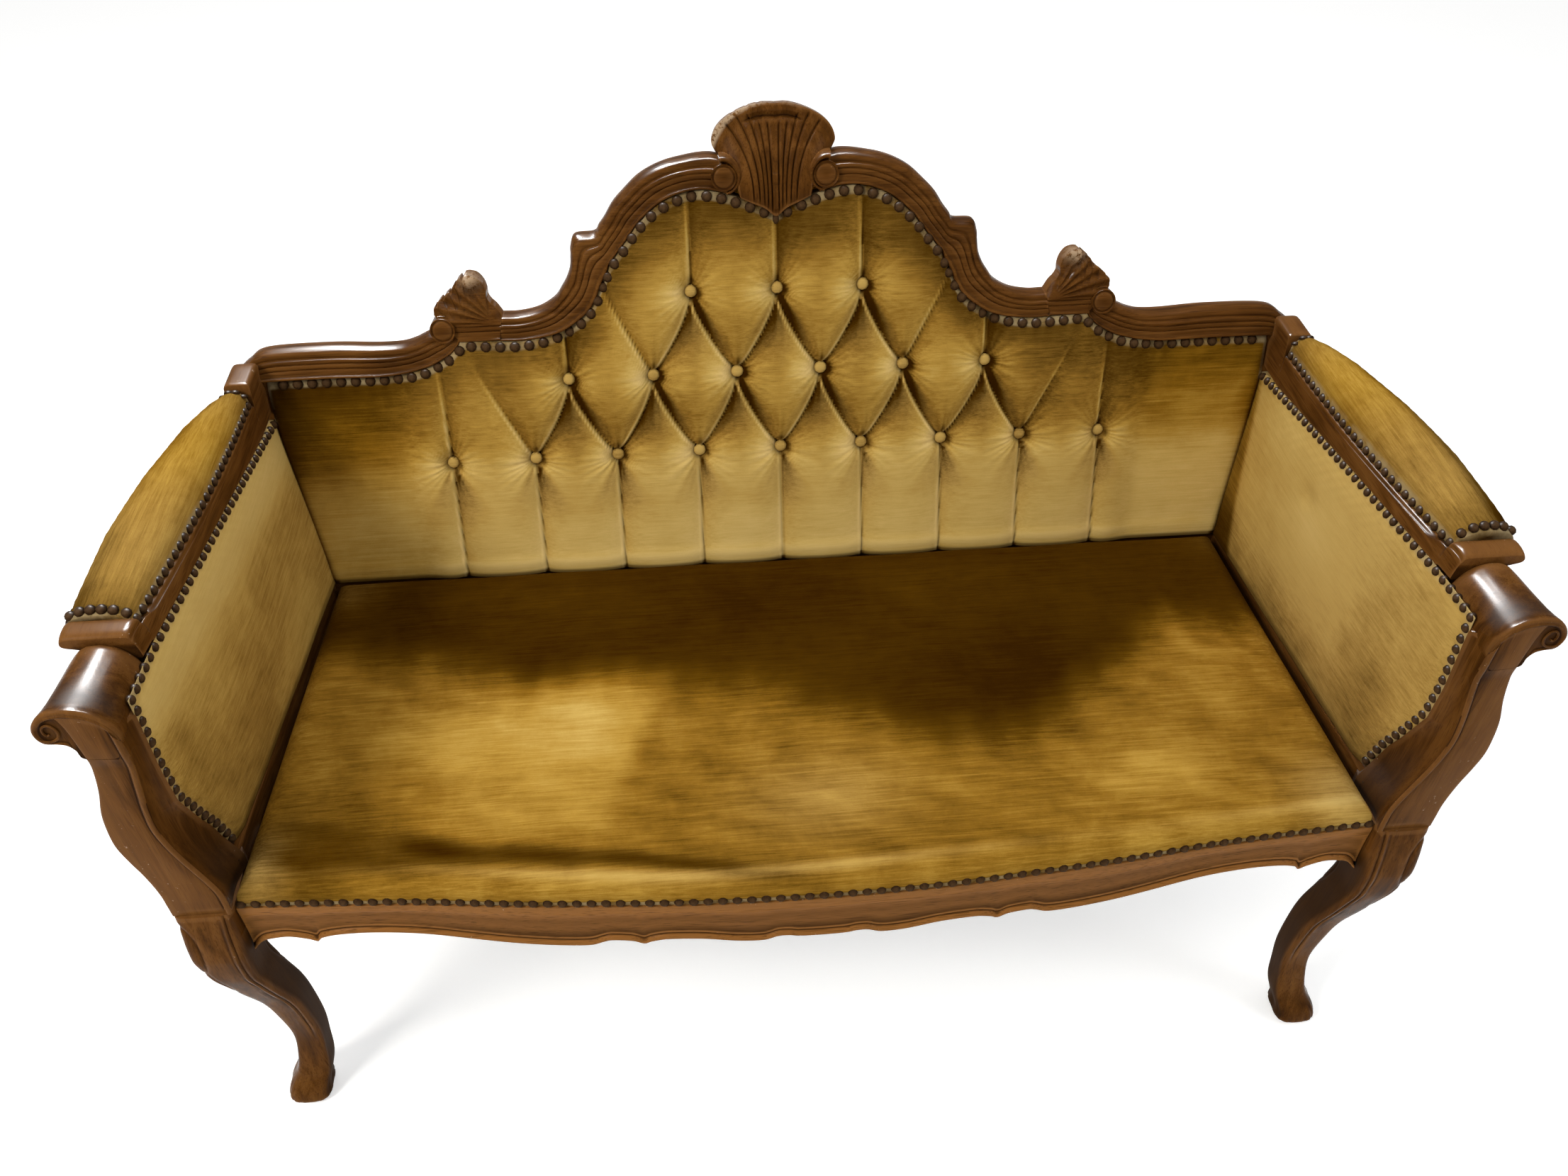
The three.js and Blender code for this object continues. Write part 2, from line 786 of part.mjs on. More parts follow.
function armRailSolid() {
  const rings = [];
  const padEnd = -armBlockStart;
  const rear = armRing(postFront(padTopBack), blockBackTop, armRail.edge);
  rings.push(rear.map((p) => p.setY(postFront(p.z))));
  rings.push(armRing(armStart + clearance, blockBackTop, armRail.edge));
  for (const share of armPadSeatShares) {
    const y = mix(armStart, padEnd, share);
    rings.push(armRing(y, armSeat(y), 0));
  }
  rings.push(armRing(padEnd - clearance, blockFrontTop, armRail.edge));
  rings.push(armRing(armEnd, blockFrontTop, armRail.edge));
  return cut(loft(rings), crestRoom());
}

// Room of the crest's end, which the arm rail's rear block is notched for
function crestRoom() {
  const low = wingBaseHeight - clearance;
  const high = seatHeight + crestRise;
  const outline = [
    [seatBackHalf, low],
    [backHalf + armOutFront, low],
    [backHalf + armOutFront, high],
    [seatBackHalf, high],
  ];
  return leaningPrism(outline, crest.front + clearance, -post.setBack - post.depth - overrun);
}

// Arm pad: crowned, drawn in where it meets the blocks
const armTop = { crown: 27, inset: 2, rows: 12, endCrownShare: 0.68, gap: 0.6 };
const armTopSectionShares = [
  [0, 0],
  [0, 0.36],
  [0.1, 0.68],
  [0.28, 0.92],
  [0.5, 1],
  [0.72, 0.92],
  [0.9, 0.68],
  [1, 0.36],
  [1, 0],
];

function armTopPad() {
  const start = armStart - armTop.gap;
  const end = -armBlockStart + armTop.gap;
  const rings = [];
  for (let r = 0; r <= armTop.rows; r++) {
    const share = (1 - Math.cos((r / armTop.rows) * Math.PI)) / 2;
    const y = mix(start, end, share);
    const base = armSeat(y) + clearance;
    const crown = armTop.crown * mix(armTop.endCrownShare, 1, Math.sin(Math.PI * share) ** 0.5);
    const [left, right] = [armShoulder(y) + armTop.inset, armOuter(y)];
    rings.push(
      armTopSectionShares.map(
        ([across, up]) => new THREE.Vector3(mix(left, right, across), y, base + crown * up),
      ),
    );
  }
  return loft(rings);
}

// Outside of the arm: a thin covered panel from the side rail to the arm rail
const outside = { thickness: 5, inset: 3 };
const outsideShares = [0, 0.2, 0.4, 0.6, 0.8, 1];

function outsideArmPanel() {
  const front = -rollBack + clearance;
  const bottom = railSideTop + clearance;
  const ring = (share) => {
    const lowY = mix(front, postFront(bottom), share);
    const highY = mix(front, postFront(padTopBack), share);
    const top = armPadTop(highY);
    const low = sideOuter(lowY) - outside.inset / 2;
    const high = Math.max(low, armOuter(highY) - armRail.edge - outside.inset);
    return [
      new THREE.Vector3(low - outside.thickness, lowY, bottom),
      new THREE.Vector3(low, lowY, bottom),
      new THREE.Vector3(high, highY, top),
      new THREE.Vector3(high - outside.thickness, highY, top),
    ];
  };
  return loft(outsideShares.map(ring));
}

// Crest rail: one moulding run between a lower and an upper line, in shares of the back
const crest = { rear: 22, front: 5, eye: 14, roundel: 14, roundelOut: 4, eyeTopShare: 0.88, room: 0.9 };
const crestThickness = crest.rear + crest.front;
const mouldingShares = [
  [0, 0.74],
  [0.05, 0.9],
  [0.12, 1],
  [0.2, 0.96],
  [0.27, 0.84],
  [0.36, 0.92],
  [0.48, 0.93],
  [0.6, 0.8],
  [0.68, 0.62],
  [0.74, 0.56],
  [0.82, 0.6],
  [0.9, 0.52],
  [0.97, 0.36],
  [1, 0.16],
];
// The wing runs in from the corner post and turns up into a volute round its eye
const wingLowerShares = [
  [1.022, 0.481],
  [0.99, 0.482],
  [0.955, 0.485],
  [0.85, 0.486],
  [0.76, 0.484],
  [0.71, 0.49],
  [0.684, 0.497],
  [0.663, 0.504],
  [0.642, 0.516],
  [0.62, 0.532],
  [0.6045, 0.552],
];
const wingUpperShares = [
  [1.03, 0.505],
  [1.003, 0.53],
  [0.965, 0.552],
  [0.85, 0.556],
  [0.76, 0.551],
  [0.715, 0.552],
  [0.69, 0.559],
  [0.674, 0.567],
  [0.662, 0.573],
  [0.65, 0.574],
  [0.638, 0.572],
];
const voluteOuterShares = [
  [0.6005, 0.572],
  [0.6025, 0.592],
  [0.611, 0.607],
  [0.6235, 0.616],
  [0.637, 0.6165],
];
const voluteInnerShares = [
  [0.624, 0.574],
  [0.6195, 0.586],
  [0.6215, 0.597],
  [0.6285, 0.603],
  [0.637, 0.6035],
];
const eyeShare = [0.6305, 0.585];
// The leaf fans up behind the volute, from its foot on the pad's edge to a nicked rim
const leafFootShares = [
  [0.603, 0.558],
  [0.584, 0.5575],
  [0.565, 0.5565],
  [0.547, 0.5555],
  [0.5285, 0.5545],
];
const leafRimShares = [
  [0.645, 0.62],
  [0.641, 0.634],
  [0.63, 0.648],
  [0.618, 0.659],
  [0.606, 0.671],
  [0.595, 0.688],
  [0.578, 0.702],
  [0.5596, 0.6995],
  [0.548, 0.685],
  [0.543, 0.667],
  [0.5425, 0.65],
  [0.537, 0.638],
  [0.529, 0.628],
  [0.5212, 0.6115],
];
const archLowerShares = [
  [0.527, 0.554],
  [0.492, 0.553],
  [0.46, 0.556],
  [0.43, 0.562],
  [0.405, 0.572],
  [0.38, 0.59],
  [0.358, 0.61],
  [0.342, 0.636],
  [0.329, 0.67],
  [0.318, 0.69],
  [0.31, 0.714],
  [0.296, 0.734],
  [0.275, 0.764],
  [0.257, 0.792],
  [0.238, 0.814],
  [0.217, 0.834],
  [0.195, 0.848],
  [0.17, 0.858],
  [0.145, 0.863],
  [0.12, 0.862],
  [0.1, 0.857],
  [0.08, 0.85],
];
const archUpperShares = [
  [0.519, 0.609],
  [0.487, 0.609],
  [0.45, 0.618],
  [0.42, 0.638],
  [0.405, 0.66],
  [0.393, 0.682],
  [0.385, 0.706],
  [0.382, 0.732],
  [0.38, 0.752],
  [0.37, 0.774],
  [0.335, 0.778],
  [0.325, 0.792],
  [0.313, 0.81],
  [0.297, 0.838],
  [0.275, 0.864],
  [0.25, 0.89],
  [0.223, 0.908],
  [0.195, 0.92],
  [0.167, 0.927],
  [0.14, 0.932],
  [0.118, 0.933],
  [0.102, 0.93],
];
const roundelShare = [0.0925, 0.888];

// Moulded rail through matching points of its lower and upper lines
function mouldedRail(lowerShares, upperShares, sectionShares) {
  return loft(
    lowerShares.map((lower, i) => {
      const upper = upperShares[i];
      const at = (share) => [mix(lower[0], upper[0], share), mix(lower[1], upper[1], share)];
      const face = sectionShares.map(([across, out]) =>
        leaningShare(at(across), crestThickness * out - crest.rear),
      );
      return [leaningShare(lower, -crest.rear), ...face, leaningShare(upper, -crest.rear)];
    }),
  );
}

function roundel(share, radius) {
  const height = crestThickness + crest.roundelOut;
  const disc = new THREE.CylinderGeometry(radius * crest.eyeTopShare, radius, height, 20);
  disc.rotateX(Math.PI - backRake);
  const middle = leaningShare(share, height / 2 - crest.rear);
  return disc.translate(middle.x, middle.y, middle.z);
}

function crestWing() {
  const lower = [...wingLowerShares, ...voluteOuterShares];
  const upper = [...wingUpperShares, ...voluteInnerShares];
  return joined(mouldedRail(lower, upper, mouldingShares), roundel(eyeShare, crest.eye));
}

function crestArch() {
  const rail = mouldedRail(archLowerShares, archUpperShares, mouldingShares);
  return joined(rail, roundel(roundelShare, crest.roundel));
}

// Room of the wing's volute and eye, which the leaf behind it is cut back to
function voluteRoom() {
  const [eyeX, eyeZ] = placed(eyeShare);
  const around = [...wingLowerShares.slice(-4), ...voluteOuterShares].map(placed);
  for (const turnShare of eyeTurnShares) {
    const turn = turnShare * 2 * Math.PI;
    around.push([eyeX + crest.eye * Math.cos(turn), eyeZ + crest.eye * Math.sin(turn)]);
  }
  const outline = around.map(([x, z]) => {
    const reach = Math.hypot(x - eyeX, z - eyeZ);
    return [x + ((x - eyeX) / reach) * crest.room, z + ((z - eyeZ) / reach) * crest.room];
  });
  return leaningPrism(outline, crestThickness, -crest.rear - overrun);
}

const eyeTurnShares = [0.2, 0.13, 0.06, 0, -0.07, -0.14];
const placed = ([xShare, zShare]) => [xShare * backHalf, seatHeight + zShare * crestRise];

// Shell: flutes that fan out from the foot to a scalloped rim with a rolled lip
const shell = {
  flutes: 11,
  stepsPerFlute: 4,
  ridge: 1.6,
  flare: 2.5,
  nickShare: 0,
  hubShare: 0.9,
  footBefore: 8,
  rimBack: 13,
  swell: 4.5,
  lip: 5,
  curl: 0,
  room: 1.5,
};
// Leaf: the same fan, smaller, its tip curling forward
const leaf = {
  flutes: 7,
  stepsPerFlute: 4,
  ridge: 1.6,
  flare: 1.1,
  nickShare: 0.02,
  hubShare: 0.55,
  footBefore: -2,
  rimBack: 4,
  swell: 5,
  lip: 2.5,
  curl: 7,
};
const shellFootShares = [
  [0.064, 0.846],
  [0.045, 0.835],
  [0.02, 0.822],
  [0, 0.806],
];
const shellRimShares = [
  [0.103, 0.939],
  [0.112, 0.954],
  [0.1, 0.978],
  [0.078, 1],
  [0.05, 1.018],
  [0.025, 1.028],
  [0, 1.028],
];
// Rows of a fan from foot to rim; the last two are its lip
const fanRowShares = [0, 0.2, 0.4, 0.6, 0.8, 0.9, 0.95, 1];
const lipShare = 0.95;
const swellShare = 0.87;
const fluteFromShare = 0.15;
const fluteSpanShare = 0.7;
const leanPower = 1.4;

// Both halves of a line given from its outer end to the middle
function bothSides(rows) {
  return rows.map(([x, z]) => [-x, z]).concat(rows.slice(0, -1).reverse());
}

// Place on a ray of a fan: it starts upright and flares outwards
function fanPoint(low, high, share, spec) {
  return [mix(low[0], high[0], share ** spec.flare), mix(low[1], high[1], share)];
}

// Carved fan between a foot line and a rim line of equally many points
function flutedFan(foot, rim, spec) {
  const last = foot.length - 1;
  return loft(
    foot.map((low, i) => {
      const ridge = Math.cos((i / spec.stepsPerFlute) * 2 * Math.PI);
      const lift = 1 - spec.nickShare * ridge;
      const high = [rim[i][0], spec.hubShare + (rim[i][1] - spec.hubShare) * lift];
      const curl = spec.curl * THREE.MathUtils.smoothstep(i / last, 0, 1);
      const face = fanRowShares.map((share) => {
        const lean = mix(spec.footBefore, -spec.rimBack, share ** leanPower);
        const swell = spec.swell * Math.sin(Math.PI * Math.min(share / swellShare, 1));
        const flute = spec.ridge * ridge * Math.sin(Math.PI * (fluteFromShare + share * fluteSpanShare));
        const lip = (share >= lipShare ? spec.lip : 0) + curl * share ** 3;
        return leaningShare(fanPoint(low, high, share, spec), lean + swell - flute + lip);
      });
      return [leaningShare(low, -crest.rear), ...face, leaningShare(high, -crest.rear)];
    }),
  );
}

const rays = (lineShares, spec) => smoothShares(lineShares, spec.flutes * spec.stepsPerFlute);

function shellSolid() {
  return flutedFan(shellFoot, rays(bothSides(shellRimShares), shell), shell);
}

function crestLeaf() {
  return cut(flutedFan(rays(leafFootShares, leaf), rays(leafRimShares, leaf), leaf), voluteRoom());
}

// Block of the shell's outline, a little wider, that the arches are cut back to
function shellRoom() {
  const rim = rays(bothSides(shellRimShares), shell);
  const outline = [...shellFoot, ...rim.reverse()]
    .map(placed)
    .map(([x, z]) => [x + Math.sign(x) * shell.room, z]);
  return leaningPrism(outline, crestThickness, -crest.rear - overrun);
}

// Buttoned back: rows of buttons, each row set half a pitch from the next
const tuft = {
  pitchShare: 0.1633,
  rowShare: 0.19,
  firstShare: 0.262,
  plainShare: 0.75,
  rear: 20,
  sideGap: 0.9,
  plain: 1,
  puff: 6,
  buttonSink: 13,
  buttonReach: 20,
  pleatSink: 8,
  pleatReach: 9,
  edgeSink: 6,
  edgeReach: 26,
  button: 8,
  buttonHeight: 11,
  halfSteps: 3,
};
const pitch = tuft.pitchShare * backHalf;
const rowHeight = tuft.rowShare * crestRise;
const lowestRow = seatHeight + tuft.firstShare * crestRise;
const buttonRows = [
  { count: 9, row: 0 },
  { count: 6, row: 1 },
  { count: 3, row: 2 },
];
const buttons = buttonRows.flatMap(({ count, row }) =>
  Array.from({ length: count }, (_, i) => ({
    name: "tuft_button_" + (row + 1) + "_" + (i + 1),
    x: (i - (count - 1) / 2) * pitch,
    z: lowestRow + row * rowHeight,
    row,
  })),
);

// Pleats run between buttons of neighbouring rows, down to the seat, and on to the frame
const pleatEnds = [];
const leanShare = 1 / 8;
const diagonalShare = 1.6;
for (const a of buttons) {
  const above = buttons.filter((b) => b.row === a.row + 1);
  for (const b of above)
    if (Math.abs(b.x - a.x) < pitch) pleatEnds.push([a.x, a.z, b.x, b.z]);
  if (a.row === 0) pleatEnds.push([a.x, a.z, a.x, seatHeight - pitch]);
  const side = Math.sign(a.x);
  const topRow = above.length === 0;
  const outer = !topRow && !above.some((b) => Math.abs(b.x - a.x) < pitch && b.x * side >= a.x * side);
  if (topRow) pleatEnds.push([a.x, a.z, a.x, a.z + pitch * 2]);
  if (outer) {
    pleatEnds.push([a.x, a.z, a.x + side * pitch * leanShare, a.z + pitch * 2]);
    pleatEnds.push([a.x, a.z, a.x + side * pitch, a.z + rowHeight * diagonalShare]);
  }
}

function fromPleat(x, z, [ax, az, bx, bz]) {
  const [dx, dz] = [bx - ax, bz - az];
  const share = THREE.MathUtils.clamp(((x - ax) * dx + (z - az) * dz) / (dx * dx + dz * dz), 0, 1);
  return Math.hypot(x - ax - dx * share, z - az - dz * share);
}
const dip = (distance, reach) => Math.exp(-((distance / reach) ** 2));

// Line that the back pad fills up to: from its side in under wing, leaf and arch to the shell's point
const shellFoot = rays(bothSides(shellFootShares), shell);
const padSide = padBackTopInner - tuft.sideGap;
const betweenPosts = postInner - clearance;
const crestLineShares = [
  ...wingLowerShares,
  ...leafFootShares,
  ...archLowerShares,
  ...shellFoot.filter(([xShare]) => xShare >= 0 && xShare < shellFootShares[0][0]).reverse(),
];

// That line from a place beside the post to the middle
function underCrestFrom(half) {
  const inner = crestLineShares.map(placed).filter(([x]) => x < half);
  return [[half, placed([0, along(wingLowerShares, half / backHalf, 1)])[1]], ...inner];
}
const underCrest = underCrestFrom(padSide);

function backSurface(x, z) {
  const nearestButton = Math.min(...buttons.map((b) => Math.hypot(x - b.x, z - b.z)));
  const nearestPleat = Math.min(...pleatEnds.map((ends) => fromPleat(x, z, ends)));
  const toFrame = Math.min(...underCrest.map(([fx, fz]) => Math.hypot(Math.abs(x) - fx, z - fz)));
  const tufted = THREE.MathUtils.smoothstep(tuft.plainShare * backHalf - Math.abs(x), 0, pitch / 2);
  const pleat = tuft.pleatSink * dip(nearestPleat, tuft.pleatReach);
  const button = tuft.buttonSink * dip(nearestButton, tuft.buttonReach);
  const edge = tuft.edgeSink * dip(toFrame, tuft.edgeReach);
  return mix(tuft.plain, tuft.puff, tufted) - pleat - button - edge;
}

// Columns that fall on the buttons, wider apart over the plain ends
const plainColumns = 3;

function backColumns() {
  const steps = (buttonRows[0].count - 1) * tuft.halfSteps;
  const fine = pitch / 2 / tuft.halfSteps;
  const last = steps * fine;
  const columns = [];
  for (let i = -steps; i <= steps; i++) columns.push(i * fine);
  for (let i = 1; i <= plainColumns; i++) {
    const x = mix(last, padSide + overrun, i / plainColumns);
    columns.push(x);
    columns.unshift(-x);
  }
  return columns;
}

const lowRowShares = [0, 0.35, 0.7, 1];
const rowsBetweenButtons = 4;

function backRows() {
  const bottom = railSideTop - overrun;
  const rows = lowRowShares.map((share) => mix(bottom, lowestRow, share));
  const step = rowHeight / rowsBetweenButtons;
  for (let z = lowestRow + step; z < seatHeight + crestRise; z += step) rows.push(z);
  return rows;
}

// Room of the post, which the pad's edge passes in front of
function postRoom() {
  const outline = [
    [postInner - clearance, railBottom],
    [backHalf + post.width, railBottom],
    [backHalf + post.width, seatHeight + crestRise],
    [postInnerTop - clearance, wingBaseHeight],
    [postInner - clearance, seatHeight],
  ];
  return leaningPrism(outline, -post.setBack + clearance, -tuft.rear - post.depth);
}

// Outline of both halves from a line that ends in the middle
function wholeOutline(half) {
  return half.concat([...half].reverse().filter(([x]) => x > 0).map(([x, z]) => [-x, z]));
}

function backPad() {
  const grid = backRows().map((z) => backColumns().map((x) => leaning(x, z, backSurface(x, z))));
  const slab = gridSolid(grid, (p) => {
    const before = (p.z - seatHeight) * Math.sin(backRake) - p.y * rakeCos + tuft.rear;
    return p.add(new THREE.Vector3(0, before * rakeCos, -before * Math.sin(backRake)));
  });
  const lowSide = seatBackHalf - tuft.sideGap;
  const sideLow = [lowSide, railBottom];
  const sideFoot = [lowSide, armPadBottom];
  const sideTop = [padSide, padTopBack];
  const outline = wholeOutline([sideLow, sideFoot, sideTop, ...insetLine(underCrest, clearance)]);
  const shaped = common(slab, leaningPrism(outline, tuft.rear + tuft.puff, -tuft.rear - overrun));
  const underneath = boxBetween(
    new THREE.Vector3(-backHalf, -backHalf, 0),
    new THREE.Vector3(backHalf, backHalf, railSideTop + clearance),
  );
  const post = postRoom();
  return [underneath, post, mirrored(post)].reduce(cut, shaped);
}

// Line moved towards the pad by a distance
function insetLine(line, distance) {
  return line.map(([x, z], i) => {
    const [px, pz] = line[Math.max(i - 1, 0)];
    const [nx, nz] = line[Math.min(i + 1, line.length - 1)];
    const length = Math.hypot(nx - px, nz - pz);
    if (x === 0) return [0, z - distance * 2];
    return [x - ((nz - pz) / length) * distance, z + ((nx - px) / length) * distance];
  });
}

// Buttons: their cone rests in the dip, and a low dome shows
const buttonProfileShares = [
  [0, 0],
  [1, 0.8],
  [0.9, 0.91],
  [0.55, 0.98],
  [0, 1],
];

function tuftButton({ x, z }) {
  const profile = buttonProfileShares.map(
    ([out, up]) => new THREE.Vector2(tuft.button * out, tuft.buttonHeight * up),
  );
  const button = new THREE.LatheGeometry(profile, 12);
  button.rotateX(Math.PI - backRake);
  const middle = leaning(x, z, backSurface(x, z) + clearance);
  return button.translate(middle.x, middle.y, middle.z);
}

// Cover on the rear of the back, tacked between the posts and over the crest's rear face
const rearCover = { thickness: 2.5, overlap: 16 };

function outsideBackPanel() {
  const line = underCrestFrom(betweenPosts).map(([x, z]) => [x, z + rearCover.overlap]);
  const low = railSideTop + (post.setBack + rail.rearDepth) * rakeTan;
  const outline = wholeOutline([[betweenPosts, low], ...line]);
  const depth = crest.rear + clearance;
  return leaningPrism(outline, -depth, -depth - rearCover.thickness);
}

// The sofa
addPair("front_leg", frontLeg(), walnut);
addPair("back_post", backPost(), walnut);
add("seat_rail_front", frontRail(), walnut);
add("seat_rail_rear", rearRail(), plainWood);
addPair("seat_rail", sideRail(), walnut);
addPair("corner_block_front", cornerBlock(frontBlockX, legBack + clearance, 1), plainWood);
addPair("corner_block_rear", cornerBlock(rearBlockX, post.setBack - clearance, -1), plainWood);
add("seat_brace", seatBrace(), plainWood);
add("seat_webbing", sheetInside(webbingTop, frame.webbing, clearance), webbingCloth);
add("dust_cover", sheetInside(railBottom + frame.liningLift, frame.lining, clearance), liningCloth);
add("seat_pad", seatPad(), velvet);
addPair("arm_support", armSupport(), walnut);
addPair("arm_rail", armRailSolid(), walnut);
addPair("arm_pad", armTopPad(), velvet);
addPair("inside_arm_pad", insideArmPad(), velvet);
addPair("outside_arm_panel", outsideArmPanel(), velvet);
addPair("crest_wing", crestWing(), walnut);
addPair("crest_leaf", crestLeaf(), walnut);
addPair("crest_arch", cut(crestArch(), shellRoom()), walnut);
add("crest_shell", shellSolid(), walnut);
add("back_pad", backPad(), velvet);
add("outside_back_panel", outsideBackPanel(), velvet);
for (const button of buttons) add(button.name, tuftButton(button), buttonVelvet);

// Centred over the floor on its own bounding box
const bounds = new THREE.Box3().setFromObject(sofa);
const middle = bounds.getCenter(new THREE.Vector3());
sofa.position.set(-middle.x, -middle.y, -bounds.min.z);

export default sofa;
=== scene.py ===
import math

import bpy
import numpy as np
from mathutils import Matrix, Vector


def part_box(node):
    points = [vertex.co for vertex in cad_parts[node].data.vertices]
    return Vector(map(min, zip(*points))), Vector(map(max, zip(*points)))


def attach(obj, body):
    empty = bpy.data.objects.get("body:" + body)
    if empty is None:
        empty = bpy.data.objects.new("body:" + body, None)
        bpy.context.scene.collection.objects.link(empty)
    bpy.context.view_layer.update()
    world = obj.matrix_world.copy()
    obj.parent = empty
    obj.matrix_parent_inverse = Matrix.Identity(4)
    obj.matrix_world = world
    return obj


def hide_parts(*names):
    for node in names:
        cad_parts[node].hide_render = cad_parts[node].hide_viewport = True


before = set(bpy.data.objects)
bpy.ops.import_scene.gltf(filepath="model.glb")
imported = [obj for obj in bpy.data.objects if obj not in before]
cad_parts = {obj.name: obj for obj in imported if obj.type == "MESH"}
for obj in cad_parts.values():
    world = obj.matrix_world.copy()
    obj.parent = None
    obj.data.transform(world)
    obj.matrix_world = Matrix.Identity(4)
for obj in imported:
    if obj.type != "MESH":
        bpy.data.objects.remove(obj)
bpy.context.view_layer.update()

# Sizes in millimetres, with y = 0 where seat and back meet
MM = 0.001
PI, TURN = math.pi, 2 * math.pi
SEAT = 440
RAKE = math.radians(13.4)
COS, SIN, TAN = math.cos(RAKE), math.sin(RAKE), math.tan(RAKE)
BACK_HALF, CREST_RISE, POST_SET, GAP = 600, 500, 5, 0.3
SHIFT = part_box("seat_rail_rear")[0].y / MM - POST_SET
SIDE_NAMES = ((1, "right"), (-1, "left"))


# Small rules on arrays
def mix(a, b, t):
    return a + (b - a) * t


def smooth(lo, hi, v):
    t = np.clip((v - lo) / (hi - lo), 0, 1)
    return t * t * (3 - 2 * t)


def bell(distance, reach):
    return np.exp(-((distance / reach) ** 2))


def fade(distance, reach):
    return np.exp(-distance / reach)


def hump(share):
    return np.sin(PI * share)


def spots(u, v, *rows):
    """Soft spots added up: sum of a e^(-((u - p)/r)^2) e^(-((v - q)/s)^2)."""
    return sum(a * bell(u - p, r) * bell(v - q, s) for a, p, r, q, s in rows)


def table(*rows):
    return np.array(rows, float)


def read(rows, at, column=1):
    """Value of a column where the table's first column is at."""
    return np.interp(at, rows[:, 0], rows[:, column])


def joined(*parts):
    """Arrays of one value each brought to one shape, then stacked as points."""
    return np.stack(np.broadcast_arrays(*parts), axis=-1).astype(float)


def unit(rows):
    return rows / np.linalg.norm(rows, axis=-1, keepdims=True)


def placed(shares):
    """Share pairs of the crest as x and height: x = 600 sx, h = 440 + 500 sz."""
    return table(*shares) * [BACK_HALF, CREST_RISE] + [0, SEAT]


def spline(rows, count):
    """Catmull-Rom curve through rows, sampled evenly by travel: p = sum of h(t) p_i."""
    rows = np.asarray(rows, float)
    ext = np.vstack([2 * rows[0] - rows[1], rows, 2 * rows[-1] - rows[-2]])
    t = np.linspace(0, len(rows) - 1 - 1e-9, max(count * 8, 400))
    i = t.astype(int)
    f = (t - i)[:, None]
    p0, p1, p2, p3 = ext[i], ext[i + 1], ext[i + 2], ext[i + 3]
    dense = 0.5 * (2 * p1 + (p2 - p0) * f + (2 * p0 - 5 * p1 + 4 * p2 - p3) * f**2
                   + (3 * p1 - p0 - 3 * p2 + p3) * f**3)
    travel = np.concatenate([[0], np.cumsum(np.linalg.norm(np.diff(dense, axis=0), axis=1))])
    want = np.linspace(0, travel[-1], count)
    return joined(*(np.interp(want, travel, column) for column in dense.T))


def lean(x, h, before):
    """Point of the raked back: y = (h - 440) tan r - b cos r, z = h + b sin r."""
    return joined(x, (h - SEAT) * TAN - before * COS, h + before * SIN)


def lean_normal(x_out, up_out, before_out):
    """Direction in the raked back's own axes: across, up the slope, and before it."""
    return unit(joined(x_out, up_out * SIN - before_out * COS, up_out * COS + before_out * SIN))


# Meshes
def grid_quads(rows, columns, wrap=False):
    """Faces of a grid, from the numbers of its four corners: a, a+1, a+1+n, a+n."""
    r, c = np.meshgrid(np.arange(rows - 1), np.arange(columns if wrap else columns - 1), indexing="ij")
    a, b = r * columns + c, r * columns + (c + 1) % columns
    return np.stack([a, b, b + columns, a + columns], axis=-1).reshape(-1, 4)


def fan(loop, hub):
    """Triangles from each step of a loop of point numbers to its hub."""
    return np.stack([loop, np.roll(loop, -1), np.full(len(loop), hub)], axis=1)


def facing_out(points, polys):
    """Faces turned to face out, by the sign of the sum of a.(b x c)."""
    total = 0
    for block in polys:
        a = points[block[:, 0]]
        for k in range(1, block.shape[1] - 1):
            total += np.einsum("ij,ij->", a, np.cross(points[block[:, k]], points[block[:, k + 1]]))
    return polys if total > 0 else [block[:, ::-1] for block in polys]


def set_marks(piece, marks):
    """Values at the points, which the materials read by name."""
    mesh = piece.data
    for key, values in marks.items():
        layer = mesh.attributes.get(key) or mesh.attributes.new(key, "FLOAT", "POINT")
        layer.data.foreach_set("value", np.broadcast_to(values, len(mesh.vertices)).astype(np.float32))


def new_piece(name, points, polys, marks=None, side=1, sharp=None):
    """Mesh object of points in mm and blocks of faces, mirrored in x for the left side."""
    points = points * [side, 1, 1]
    polys = facing_out(points, polys)
    points[:, 1] += SHIFT
    mesh = bpy.data.meshes.new(name)
    loops = np.concatenate([block.ravel() for block in polys])
    totals = np.concatenate([np.full(len(block), block.shape[1]) for block in polys])
    mesh.vertices.add(len(points))
    mesh.vertices.foreach_set("co", (points * MM).astype(np.float32).ravel())
    mesh.loops.add(len(loops))
    mesh.loops.foreach_set("vertex_index", loops.astype(np.int32))
    mesh.polygons.add(len(totals))
    mesh.polygons.foreach_set("loop_start", (np.cumsum(totals) - totals).astype(np.int32))
    mesh.update(calc_edges=True)
    mesh.validate()
    mesh.shade_smooth()
    if sharp:
        mesh.set_sharp_from_angle(angle=math.radians(sharp))
    piece = bpy.data.objects.new(name, mesh)
    bpy.context.scene.collection.objects.link(piece)
    set_marks(piece, marks or {})
    return piece


